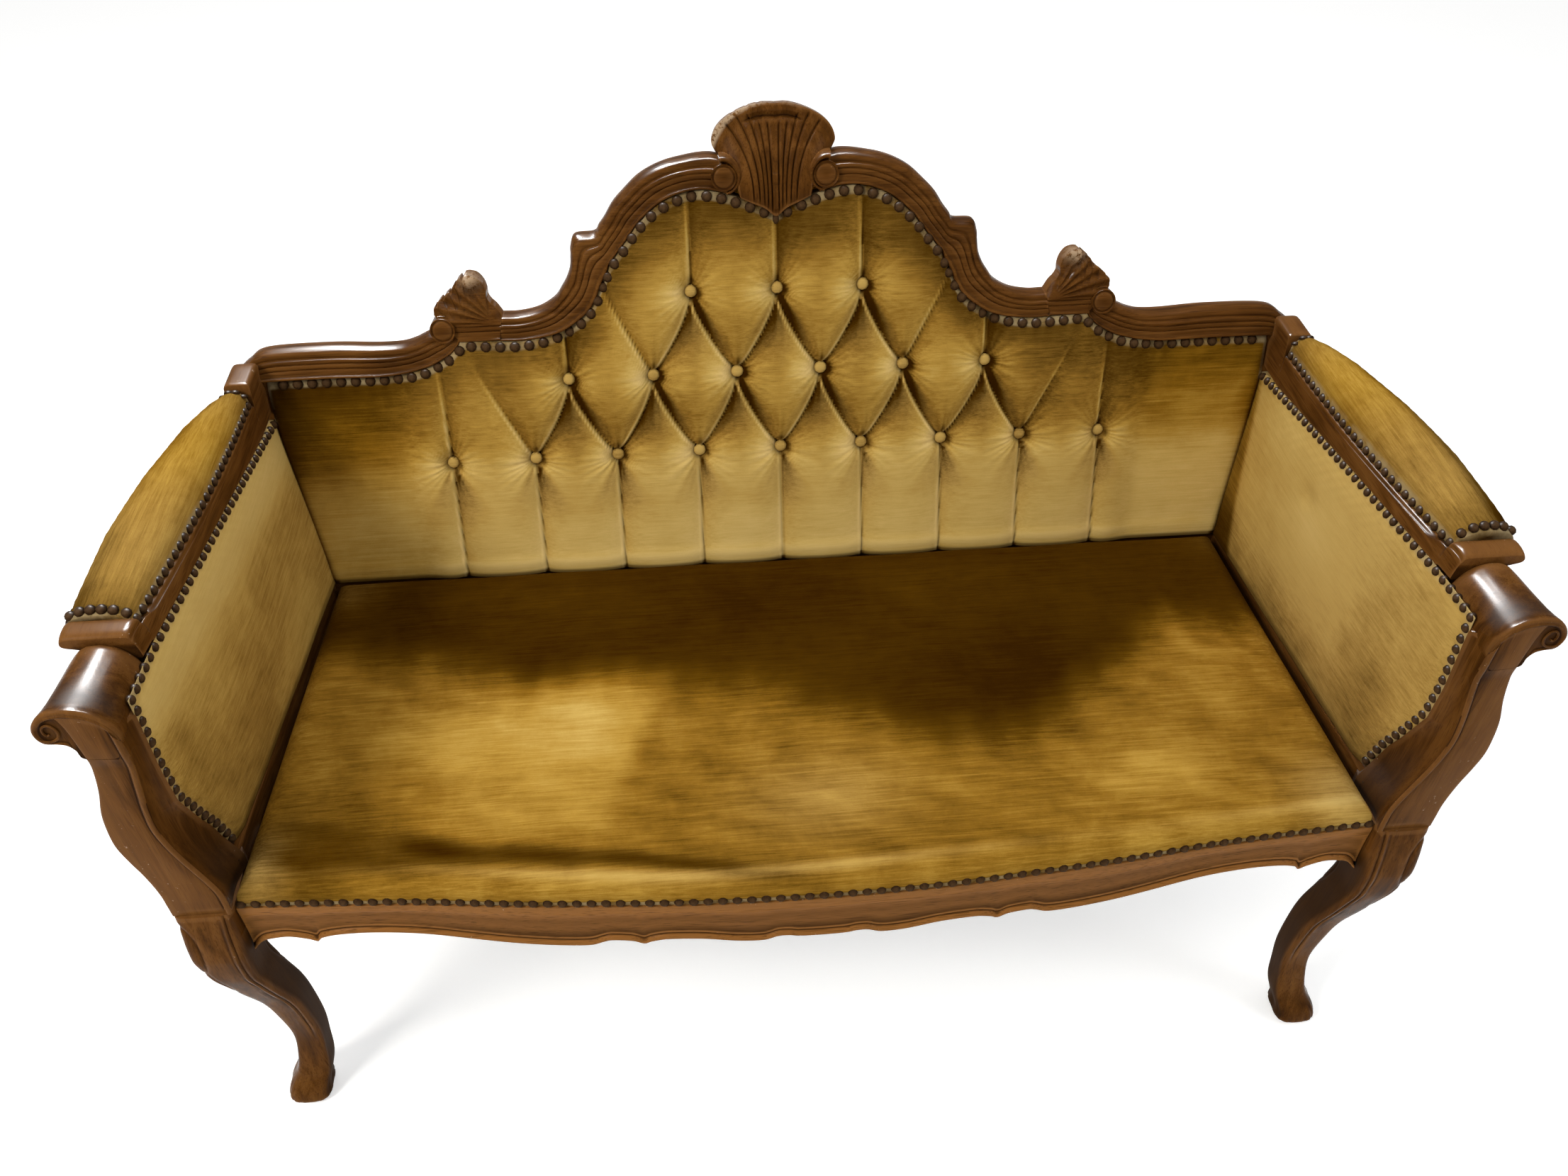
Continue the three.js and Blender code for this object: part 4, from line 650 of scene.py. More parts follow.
# Padded arms: the panel inside each arm, and the crowned pad on top
PAD_INSIDE_BOTTOM, PAD_FRONT, PAD_OUTER = 424.3, 428, 599.4
ARM_TOP_FRONT, ARM_TOP_BACK, ARM_BULGE = 686, 635, 8
ROLL_BACK, BLOCK_START = 376, 352
ARM_START, ARM_END = 14, -ROLL_BACK + GAP
PAD_EDGE = table((0, 0.915), (0.08, 0.925), (0.2, 0.945), (0.29, 0.968), (0.5, 1.012), (0.67, 1.015),
                 (0.88, 1.005), (1, 1))
PLAN = table((0, 0, 0), (0.07, 0.3, 0.04), (0.18, 0.58, 0.12), (0.4, 0.86, 0.34), (0.64, 1.02, 0.62),
             (0.85, 1, 0.86), (1, 0.96, 1))
# Spots of the inside arm panels: on the right, three patches of painted light, a darker front and painted shade in
# the dimple; on the left, a darker front and a paler rear top.
ARM_SPOTS = {"right": [(0.30, -150, 133, 590, 95), (0.30, -172, 51, 572, 34),
                       (0.18, -60, 45, 625, 35), (-0.24, -340, 60, 515, 50),
                       (-0.22, -138, 15, 603, 15)],
             "left": [(-0.14, -395, 45, 560, 70), (0.12, -20, 50, 640, 40)]}


def post_front(height):
    """Front of the raked posts: y = (h - 440) tan r + 5 / cos r - gap."""
    return (height - SEAT) * TAN + POST_SET / COS - GAP


def bulge(share):
    """Upward bow of the inside pad between its ends: 32 s (1 - s)."""
    return ARM_BULGE * 4 * share * (1 - share)


def pad_top(y):
    """Top edge of the inside pad: z = mix(686, 635, s) + bow."""
    share = (y + PAD_FRONT) / (PAD_FRONT + post_front(ARM_TOP_BACK))
    return mix(ARM_TOP_FRONT, ARM_TOP_BACK, share) + bulge(share)


def inside_point(up, share):
    """Face of the panel: y = mix(edge(up), post, share), x = mix(low, high, up) - crown."""
    up, share = np.broadcast_arrays(up, share)
    back_z, height = mix(PAD_INSIDE_BOTTOM, ARM_TOP_BACK, up), ARM_TOP_FRONT - PAD_INSIDE_BOTTOM
    y = mix(-PAD_FRONT * read(PAD_EDGE, up), post_front(back_z), share)
    z = mix(PAD_INSIDE_BOTTOM + height * up, back_z, share) + bulge(share) * up
    distance = np.minimum(share * PAD_FRONT, (1 - up) * height)
    crown = 6 * hump(up) * hump(share) + 20 * share * (1 - share) * up**2
    drawn = 7 * (1 - np.clip(distance / 30, 0, 1)) ** 2 * (1 - share)
    x = mix(mix(590, 558, share), mix(598, 586, share), up) - crown + drawn
    return joined(np.minimum(x, PAD_OUTER - 0.9), y, z), distance


def inside_arm_tone(y, z, tag):
    """Nap inside the arms: pale under the nails, a shaded front foot, and the rear in shade on the right."""
    under_nails = bell(pad_top(y) - z - 26, 34)
    nap = 0.60 + spots(y, z, *ARM_SPOTS[tag])
    if tag == "left":
        foot = smooth(560, 470, z) * smooth(-120, -300, y)
        return nap + 0.36 * under_nails - 0.12 * foot, np.clip(0.45 + 0.4 * under_nails, 0, 1)
    shade = smooth(-8, 8, (y + 40) - (z - SEAT) * 0.42) * smooth(680, 600, z)
    nap = nap + 0.08 * under_nails - 0.24 * smooth(510, 440, z) - 0.28 * shade
    return nap, np.clip(0.55 + 0.35 * bell(y + 240, 160) - 0.45 * shade, 0, 1)


def inside_arm_velvet(side, tag):
    """Panel inside the arm: x += 1.6 e^(-d/7) + 0.55 sin(2 pi (y + z)/15) e^(-d/16) + slow waves."""
    share = np.linspace(0, 1, 210)
    grid, distance = inside_point(np.linspace(0, 1, 120)[:, None], share)
    x, y, z = np.moveaxis(grid, -1, 0)
    wave = 0.8 * np.sin(y / 71 + 0.4) * np.sin(z / 45) + 0.35 * np.sin(y / 23 + z / 90)
    push = 1.6 * fade(distance, 7) + 0.55 * np.sin((y + z) * TURN / 15) * fade(distance, 16)
    push = push + wave * np.clip(distance / 30, 0, 1)
    if side > 0:
        push = push + spots(y, z, (2.6, -150, 13, 598, 13))
    nap, buff = inside_arm_tone(y, z, tag)
    # Painted shade where the panel meets the seat and the rear post.
    crease = np.clip(0.6 * smooth(436, 428, z) + 0.7 * smooth(0.985, 1, share), 0, 1)
    marks = {"nap": nap, "buff": buff, "crease": crease, "edge": smooth(10, 6, distance)}
    grid = joined(np.minimum(x + push, PAD_OUTER - 0.5), y, z)
    piece = slab("inside_arm_velvet_" + tag, grid, lambda p: joined(PAD_OUTER, p[:, 1], p[:, 2]), marks, side)
    upholster(piece, velvet_along, "inside_arm_pad_" + tag)


def plan_share(y):
    """Share of the way along the arm, from its rear end to its front end."""
    return np.clip((y - ARM_START) / (ARM_END - ARM_START), 0, 1)


def arm_outer(y):
    """Outer line of the arm rail in plan: x = 600 + mix(16, 68, plan(s))."""
    return BACK_HALF + mix(16, 68, read(PLAN, plan_share(y)))


def arm_shoulder(y):
    """Inner edge of the arm pad in plan: x = 600 + mix(-9, 10, plan(s)) - 6 sin(pi s)."""
    share = plan_share(y)
    return BACK_HALF + mix(-9, 10, read(PLAN, share, 2)) - 6 * hump(share)


def arm_seat(y):
    """Level on which the arm pad sits: z = mix(682, 701, s)."""
    return mix(682, 701, plan_share(y))


def pad_crown(side, share):
    """Rise of the arm pad, more on the right: c mix(0.55, 1, sin(pi s)^0.38)."""
    return (37 if side > 0 else 29) * mix(0.55, 1, hump(share) ** 0.38)


def arm_velvet(side, tag):
    """Pad on the arm: section x = a + w (1 - cos t)/2, z = base + crown sin(t)^0.62."""
    share = (1 - np.cos(np.linspace(0, PI, 150)[:, None])) / 2
    t = np.linspace(0, PI, 64)
    y = mix(ARM_START - 0.6, -BLOCK_START + 0.6, share)
    across, lift = (1 - np.cos(t)) / 2, np.sin(t) ** 0.62
    to_end = np.minimum(share, 1 - share) * 330
    near = np.minimum(np.minimum(t, PI - t) * 20, to_end)
    tuck = 0.9 * np.sin(y * TURN / 15) * fade(near, 11) + 0.7 * np.sin(y / 37 + 0.5)
    z = arm_seat(y) + GAP + (pad_crown(side, share) + tuck) * lift
    # Painted shade on the pad's outer flank, more on the right, and in the creases along its sides and ends.
    nap = 0.58 + 0.10 * np.sin(t) * np.cos(y / 105 + 0.3) - 0.16 * smooth(60, 10, to_end)
    nap = nap - (0.34 if side > 0 else 0.18) * smooth(0.5, 0.85, across)
    buff = np.clip(0.5 + 0.4 * np.sin(y / 60), 0, 1) * 0.6
    marks = {"nap": nap, "buff": buff, "crease": 0.35 * fade(near, 7), "edge": smooth(5, 2, near)}
    marks = {key: np.append(np.broadcast_to(v, z.shape), [0, 0]) for key, v in marks.items()}
    rings = joined(mix(arm_shoulder(y) + 2, arm_outer(y), across), y, z)
    piece = new_piece("arm_velvet_" + tag, *loft_parts(rings), marks, side)
    upholster(piece, velvet_along, "arm_pad_" + tag)


BUTTON_PROFILE = table((0.2, -2), (6.8, 5.2), (7.4, 6.8), (7.1, 8.4), (5.8, 10), (3.9, 10.9), (1.9, 11.3),
                       (0.3, 11.4))
BUTTON_SINK = 6.5


def button_piece(row, i, x):
    """Covered button: a dome of r 7.4 turned about the back's normal, with painted shade round its foot and a
    painted highlight on its top.
    """
    number = "%d_%d" % (row + 1, i + 1)
    steps = 36
    turn = np.linspace(0, TURN, steps, endpoint=False)
    out, up = BUTTON_PROFILE[:, :1], BUTTON_PROFILE[:, 1:]
    out = out * (1 + 0.02 * np.sin(turn * 9 + x) * (up > 3) * (up < 11))
    lo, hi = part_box("tuft_button_" + number)
    middle = np.array((lo + hi) / 2) / MM - [0, SHIFT, 0]
    axes = np.array([lean_normal(*row_of) for row_of in np.eye(3)])
    rings = middle + joined(out * np.cos(turn), out * np.sin(turn), up - BUTTON_SINK) @ axes
    # Painted shade round the button's foot, and a painted highlight on its top.
    rim = np.append(np.repeat(smooth(9.6, 5.5, BUTTON_PROFILE[:, 1]), steps), [1, 0])
    top = np.append(np.repeat(BUTTON_PROFILE[:, 1] > 9, steps), [0, 1])
    nap = 0.42 + 0.13 * (math.sin(i * 2.4 + row * 1.7) + 1) + 0.10 * top
    marks = {"nap": nap, "buff": 0.7, "crease": rim * 0.85, "edge": 0}
    piece = new_piece("button_" + number, *loft_parts(rings), marks)
    upholster(piece, velvet_across, "tuft_button_" + number, "button_velvet")


# Carved crest
REAR = 22
MOULDING = spline([(0, -2), (0.02, 3), (0.05, 4.6), (0.09, 4.4), (0.12, 2.6), (0.15, 2), (0.24, 1.6),
                   (0.30, 1.7), (0.325, 0.4), (0.35, 1.9), (0.42, 2.6), (0.47, 2.4), (0.495, 0.6), (0.52, 1.4),
                   (0.58, 2.2), (0.63, 1.6), (0.66, -0.6), (0.69, -1.6), (0.72, -0.8), (0.78, -0.4),
                   (0.85, -1.2), (0.91, -3.6), (0.96, -8), (0.99, -12), (1, -17)], 90)
LEAF_FLOOR = SEAT + 0.556 * CREST_RISE
SHELL_LANDS = np.array([0.042, 0.105, 0.165, 0.23, 0.31])


def carved(name, parts, node, side, material, sharp, rounds, scale, extra=None):
    """Piece of carved wood with its relief marked; extra marks are rules of the place."""
    points, polys = combine(parts)
    piece = new_piece(name, points, polys, None, side, sharp)
    mark_relief(piece, rounds, scale)
    set_marks(piece, {key: rule(*points.T) for key, rule in (extra or {}).items()})
    dress(piece, material, "walnut", node)
    return piece


def moulded(lower, upper, count):
    """Moulding between two lines: p = lean(mix(l, u, a), before(a)), its relief in step with its width."""
    lines = spline(np.hstack([placed(lower), placed(upper)]), count)[:, None]
    low, high = lines[..., :2], lines[..., 2:]
    flat = mix(low, high, MOULDING[None, :, :1])
    scale = np.clip(np.linalg.norm(high - low, axis=2) / 34, 0.35, 1.15)
    before = MOULDING[:, 1] * np.where(MOULDING[:, 1] > -4.5, scale, 1)
    ends = [lean(line[..., 0], line[..., 1], -REAR) for line in (low, high)]
    return loft_parts(np.concatenate([ends[0], lean(flat[..., 0], flat[..., 1], before), ends[1]], axis=1))


def eye(share, radius, front):
    """Round boss: a low dome with a groove near its edge."""
    x, h = placed([share])[0]
    profile = [(0.01, front), (0.35, front - 0.1), (0.6, front - 0.5), (0.72, front - 1), (0.79, front - 2.4),
               (0.84, front - 2.3), (0.90, front - 0.9), (0.96, front - 1.2), (1, front - 3), (1.02, -REAR)]
    out, before = spline(profile, 44).T[..., None]
    turn = np.linspace(0, TURN, 56, endpoint=False)
    return loft_parts(lean(x + out * radius * np.cos(turn), h + out * radius * np.sin(turn), before))


def hook(share, radius, turns, half, top):
    """Bead round a boss: p = c + r(t) (cos t, sin t), its section top (1 - a^2)^0.5 across a."""
    x, h = placed([share])[0]
    run = np.linspace(0, 1, 70)[:, None]
    t = np.radians(mix(*turns, run))
    across = np.linspace(-1, 1, 13)
    r = radius + mix(3, 0, smooth(0, 0.4, run)) + across * half * mix(1, 0.45, run)
    before = (top - 4 * run) * np.sqrt(np.clip(1 - across**2, 0, 1)) - 3 * np.abs(across) ** 3
    rings = [lean(x + out * np.cos(t), h + out * np.sin(t), depth)
             for out, depth in ((r[:, :1], -REAR), (r, before), (r[:, -1:], -REAR))]
    return loft_parts(np.concatenate(rings, axis=1))


def carved_fan(foot, rim, count, rows, hub, flare, nick, relief):
    """Carved fan: x = mix(foot, rim, s^flare), h = mix(foot, top, s), its relief from a rule."""
    foot, rim = spline(placed(foot), count), spline(placed(rim), count)
    u = np.linspace(0, 1, count)[:, None]
    top = hub + (rim[:, 1:] - hub) * (1 - nick(u))
    x, h = mix(foot[:, :1], rim[:, :1], rows**flare), mix(foot[:, 1:], top, rows)
    ends = lean(foot[:, :1], foot[:, 1:], -REAR), lean(rim[:, :1], top, -REAR)
    return [loft_parts(np.concatenate([ends[0], lean(x, h, relief(u, rows, x, h)), ends[1]], axis=1))]


def shell_relief(u, s, x, h):
    """Leaning face with a swell, engraved lines either side, a middle wedge and a lip over a slit."""
    side = np.abs(u - 0.5)
    gap = np.min(np.abs(side[..., None] - SHELL_LANDS), axis=-1)
    ends = smooth(0, 0.10, s) * smooth(0.99, 0.93, s + 0.13 * smooth(0.2, 0.1, side))
    lines = 0.5 * np.clip(gap / 0.03, 0, 1) ** 0.5 - 2.6 * bell(gap, 0.0085)
    block = (1.4 * smooth(0.30, 0.31, s) * smooth(0.40, 0.39, s)
             + 0.9 * smooth(0.05, 0.06, s) * smooth(0.24, 0.23, s))
    lip = 3.2 * smooth(0.905, 0.945, s) - 3 * bell(s - 0.885, 0.014) + 1.2 * bell(s - 0.835, 0.03)
    return (mix(7, -13, s**1.4) + 4.5 * hump(np.minimum(s / 0.87, 1)) + lines * ends
            + 1.2 * smooth(0.042, 0.026, side) * smooth(0.80, 0.45, s) + smooth(0.036, 0.028, side) * block
            + mix(1.6 * smooth(0.93, 0.975, s), lip, smooth(0.235, 0.17, side)))


def leaf_relief(u, s, x, h):
    """The arch's moulding runs on along the foot; above it ribs sweep up from the arch to a rolled tip."""
    width = (h - LEAF_FLOOR) / 33
    px, ph = 318, 736
    turn, reach = np.degrees(np.arctan2(h - ph, x - px)), np.hypot(x - px, h - ph)
    ribs = np.cos(TURN * (turn / 13.5 + reach / 95))
    carve = 1.5 * ribs * smooth(8, 26, reach) * smooth(72, 60, turn)
    spine = 2 * bell(turn - 79, math.degrees(0.10)) * smooth(12, 30, reach) * smooth(46, 34, reach)
    knob = spots(x, h, (9, 341, 13, 787, 13 / 1.15), (-4, 338, 6.5 / 0.7, 771.5, 6.5))
    body = mix(1, -5, s**1.3) + 4 * hump(s) + carve + knob + spine
    return mix(read(MOULDING, width), body, smooth(0.46, 0.64, width))


def on_face(y, z):
    """1 on the front of the raked crest, 0 on its back."""
    return smooth(20, 15, y - (z - SEAT) * TAN)


def shell_edge(x, y, z):
    """Bare wood along the shell's rim, from 67 mm out, on its left."""
    return on_face(y, z) * smooth(67, 71, np.hypot(x, (z - 885) * 1.02)) * smooth(40, -10, x)


def leaf_edge(x, y, z):
    """Bare wood on the leaf's rolled tip, as a soft spot."""
    return on_face(y, z) * spots(x, z, (0.9, 341, 12, 790, 12))


def shell_nick(u):
    """Small notches in the left part of the shell's rim: 0.010 e^(-((sin - 1)/0.35)^2)."""
    return 0.010 * bell(np.sin(u * 61 + 2 * np.sin(u * 17)) - 1, 0.35) * smooth(0.62, 0.4, u)


def leaf_nick(u):
    """Notches between the leaf's lobes: 0.07 e^(-((cos - 1)/0.5)^2)."""
    return 0.07 * bell(np.cos(u * TURN * 11) - 1, 0.5) * smooth(0.55, 0.42, u)


def crest():
    """The shell, then the wing, the arch and the leaf of each side."""
    foot, rim = ([(-x, z) for x, z in half] + half[-2::-1] for half in (SHELL_FOOT, SHELL_RIM))
    shell = carved_fan(foot, rim, 260, np.linspace(0, 1, 96), 890, 2.5, shell_nick, shell_relief)
    carved("crest_shell_carving", shell, "crest_shell", 1, walnut_z, 50, 8, 1.2, {"bare": shell_edge})
    rows = np.concatenate([np.linspace(0, 0.4, 60)[:-1], np.linspace(0.4, 1, 52)])
    leaf = carved_fan(LEAF_FOOT, LEAF_RIM, 150, rows, 715, 1.1, leaf_nick, leaf_relief)
    wing = [moulded(WING_LOWER + VOLUTE_OUTER, WING_UPPER + VOLUTE_INNER, 240), eye(WING_EYE, 14, 6.6)]
    arch = [moulded(ARCH_LOWER, ARCH_UPPER, 300), eye(ARCH_EYE, 14, 7.4),
            hook(ARCH_EYE, 16.5, (78, 262), 4.6, 11)]
    for side, tag in SIDE_NAMES:
        for name, parts, scale, extra in (("wing", wing, 1.3, None), ("arch", arch, 1.3, None),
                                          ("leaf", leaf, 1.1, {"bare": leaf_edge})):
            carved("crest_%s_carving_%s" % (name, tag), parts, "crest_%s_%s" % (name, tag), side, walnut_x,
                   50, 8, scale, extra)


# Arm fronts: an S-shaped face with a bead, a cove on the inner side and a roll on top
ARM_BOTTOM, ARM_HEIGHT, ARM_IN, ARM_WIDTH, ARM_FACE = 405, 307, 590, 80, 460
SIDE_RAIL_TOP, BESIDE_RAIL, BEHIND_RAIL, BOARD_TOP = 424.6, 586.5, -409.5, 0.868
ARM_SIDES = table((0, -0.045, 0.69), (0.05, -0.05, 0.69), (0.12, -0.03, 0.7), (0.225, 0.09, 0.765),
                  (0.3, 0.18, 0.83), (0.375, 0.25, 0.875), (0.456, 0.29, 0.86), (0.54, 0.27, 0.81),
                  (0.635, 0.22, 0.705), (0.717, 0.17, 0.64), (0.79, 0.14, 0.605), (0.835, 0.135, 0.625),
                  (BOARD_TOP, 0.135, 0.69))
BEAD_REACH = table((0.13, BOARD_TOP), (0.16, 0.886), (0.20, 0.913), (0.29, 0.946), (0.42, 0.968), (0.59, 0.978),
                   (0.70, 0.975))
ROLL = table((0.26, 0.79), (0.20, 0.825), (0.155, 0.85), (0.128, 0.875), (0.142, 0.905), (0.18, 0.932),
             (0.275, 0.967), (0.41, 0.99), (0.59, 1), (0.775, 0.993), (0.91, 0.964), (0.985, 0.928),
             (0.985, 0.895), (0.93, 0.872), (0.80, 0.866), (0.70, 0.856), (0.64, 0.835), (0.60, 0.80))
ROLL_STEPS = table((1.5, 10), (1.4, 7.4), (0.9, 6.4), (0.3, 5.4), (0, 3.8), (0.3, 1.8), (1, 0.7), (2.2, 0.1),
                   (4, 0), (7, 0.4), (12, 1), (22, 1.6), (36, 1.4), (52, 0.9), (66, 0.3), (76, 0.2),
                   (80, 0.5), (82.5, 1.4), (84, 2.6))
SCROLL = [(0.150, 0.80), (0.158, 0.855), (0.195, 0.912), (0.29, 0.949), (0.42, 0.971), (0.59, 0.981),
          (0.77, 0.974), (0.885, 0.951), (0.948, 0.924), (0.94, 0.897), (0.89, 0.883), (0.81, 0.883),
          (0.745, 0.895), (0.715, 0.916), (0.735, 0.938), (0.79, 0.948), (0.845, 0.939), (0.862, 0.92),
          (0.838, 0.907), (0.805, 0.911)]
FACE_IN = np.array([0, 0.6, 1.6, 3, 4.4, 5.4, 6.2, 7.4, 9, 14, 22])
FACE_RISE = np.array([0, 1.6, 2.6, 3, 2.6, 1.4, 0.2, -0.7, -0.3, 0, 0])
CORNER = np.array([3, 1.2, 0.3, 0])


def arm_place(shares):
    """Share pairs of the arm front as x = 590 + 80 sx and z = 405 + 307 sz."""
    return shares * [ARM_WIDTH, ARM_HEIGHT] + [ARM_IN, ARM_BOTTOM]


def arm_body():
    """Body of the arm front by height: square outside, a cove from the S edge back to the pad."""
    share, inner, outer = spline(ARM_SIDES, 150).T[..., None]
    z = ARM_BOTTOM + ARM_HEIGHT * share
    inner, outer = ARM_IN + ARM_WIDTH * inner, ARM_IN + ARM_WIDTH * outer
    up = np.clip((z - PAD_INSIDE_BOTTOM) / (ARM_TOP_FRONT - PAD_INSIDE_BOTTOM), 0, 1)
    pad_edge = -PAD_FRONT * read(PAD_EDGE, up) - 1.5
    at_rail = z < SIDE_RAIL_TOP
    rear, beside = np.where(at_rail, BEHIND_RAIL, -ROLL_BACK), np.where(at_rail, BESIDE_RAIL, PAD_OUTER + GAP)
    forward = 1.6 * smooth(470, 412, z) + 2.5 * smooth(0.74, 0.82, share)
    low = smooth(454, 418, z)
    edge, foot = joined(inner, -ARM_FACE - 0.6 * forward), joined(597 - 13.5 * low, pad_edge - 8 * low)
    t = np.linspace(0, 1, 22)[:-1, None]
    cove = foot + (edge - foot) * t + unit((edge - foot)[..., ::-1] * [-1, 1]) * 5 * hump(t) ** 0.8
    flat = 2.6 - ARM_FACE - forward
    plan = np.concatenate([cove, joined(inner + FACE_IN, flat - FACE_RISE),
                           joined(outer - CORNER, flat + CORNER[::-1]),
                           joined(outer, np.minimum([-ROLL_BACK - 3, -ROLL_BACK], rear)),
                           joined(beside, np.hstack([rear, pad_edge]))], axis=1)
    x, y = np.moveaxis(plan, -1, 0)
    reach = (read(BEAD_REACH, (x - ARM_IN) / ARM_WIDTH) - BOARD_TOP) * smooth(0.79, BOARD_TOP, share)
    return loft_parts(joined(x, y, z + reach * smooth(7 - ARM_FACE, 2 - ARM_FACE, y) * ARM_HEIGHT))


def arm_roll():
    """Roll over the top: the scroll's outline carried back, narrowed by 9 mm and lowered by 5."""
    line = spline(np.vstack([ROLL, ROLL[:1]]), 121)[:-1]
    outline = arm_place(line)
    keep = smooth(0.835, 0.875, line[:, 1])
    depth, inset = ROLL_STEPS.T[..., None]
    back = depth / ROLL_STEPS[-1, 0]
    lefts = (outline[:, 0] - outline[:, 0].min()) / np.ptp(outline[:, 0])
    shape = outline - joined(9 * lefts * back, 5 * back)
    shape = shape - unit(shape - outline.mean(axis=0)) * (inset * np.maximum(keep, back))[..., None]
    y = np.where(depth < 5, mix(0.6 + depth * 0.2, depth, keep), depth) - ARM_FACE
    return loft_parts(joined(shape[..., 0], y, shape[..., 1]))


def scroll_spiral():
    """Bead over the roll and curled into its end: a tube of r 2.1 to 1.1 along a line."""
    path = arm_place(spline(SCROLL, 260))
    outward = unit(np.gradient(path, axis=0))[:, ::-1] * [-1, 1]
    around = np.linspace(0, TURN, 12, endpoint=False)
    thick = np.linspace(2.1, 1.1, len(path))[:, None]
    x, z = (path[:, k:k + 1] + outward[:, k:k + 1] * thick * np.cos(around) for k in range(2))
    return loft_parts(joined(x, 0.4 - ARM_FACE - 0.8 * thick * np.sin(around), z)[:, ::-1])


def cove_shade(x, y, z):
    """Shade in the cove of the arm front, towards its foot."""
    return 0.8 * smooth(-453, -440, y) * smooth(560, 440, z) * smooth(616, 606, x)


# Arm rails, front legs and front rail
FRONT_BLOCK_TOP, REAR_BLOCK_TOP = 713, 709
BLOCK_STEPS = [ARM_END + 0.3, -375.4, -374.6, -373, -370, -366, -360, -356, -354, -352.8,
               -352.3, -351.9]
POST_STEPS = [13.4, 13.8, 14.6, 16, 19]
LEG_TOP = 404.7
LEG = table((0, 0.72, 0.72, 0.83), (0.02, 0.78, 0.78, 0.88), (0.055, 0.67, 0.67, 0.82), (0.11, 0.33, 0.33, 0.7),
            (0.19, 0.11, 0.11, 0.6), (0.29, 0, 0, 0.58), (0.42, 0.11, 0.11, 0.64), (0.51, 0.25, 0.25, 0.69),
            (0.6, 0.5, 0.5, 0.76), (0.67, 0.69, 0.69, 0.82), (0.735, 0.89, 0.85, 0.89), (0.81, 1.01, 0.93, 0.97),
            (0.85, 1.04, 0.92, 1), (0.93, 1.04, 0.78, 1), (1, 1.05, 0.63, 1.02))
SCALLOP = table((0, 0.85), (0.04, 0.82), (0.06, 0.7), (0.08, 0.72), (0.105, 1), (0.15, 0.95), (0.21, 0.62),
                (0.27, 0.56), (0.3, 0.75), (0.315, 0.95), (0.335, 0.7), (0.37, 0.62), (0.385, 0.75), (0.41, 1.05),
                (0.46, 1.05), (0.53, 0.88), (0.61, 0.55), (0.7, 0.15), (0.78, 0), (0.84, 0.12), (0.875, 0.4),
                (0.885, 0.72), (0.9, 0.5), (0.93, 0.25), (0.955, 0.33), (0.975, 0.5), (0.989, 0.85), (1, 1.3))
RAIL_HALF, RAIL_FOOT, SCALLOP_DROP, RAIL_CAP, RAIL_DEPTH = 585.8, 355, 20, 401, 28
RAIL_RISE = np.array([0, 0.6, 1.6, 3, 4.4, 5.6, 6.6, 7.4, 8.2, 9.2, 10.6, 12.2, 14])
RAIL_PROUD = np.array([0, 1.8, 3, 3.6, 3.3, 2.2, 0.6, -0.8, -1, -0.4, 0.5, 0.4, 0, -0.5, -0.8, -0.5,
                       0, -0.4])


def round_corners(loop, radius):
    """Loop of corners per station, each turned by a curve (1-t)^2 a + 2t(1-t) c + t^2 b."""
    ends = []
    for step in (1, -1):
        run = np.roll(loop, step, axis=1) - loop
        length = np.linalg.norm(run, axis=2, keepdims=True)
        ends.append((loop + run / length * np.minimum(radius, length * 0.45))[:, :, None])
    t = np.linspace(0, 1, 5)[:, None]
    turned = (1 - t) ** 2 * ends[0] + 2 * t * (1 - t) * loop[:, :, None] + t**2 * ends[1]
    return turned.reshape(len(loop), -1, 2)


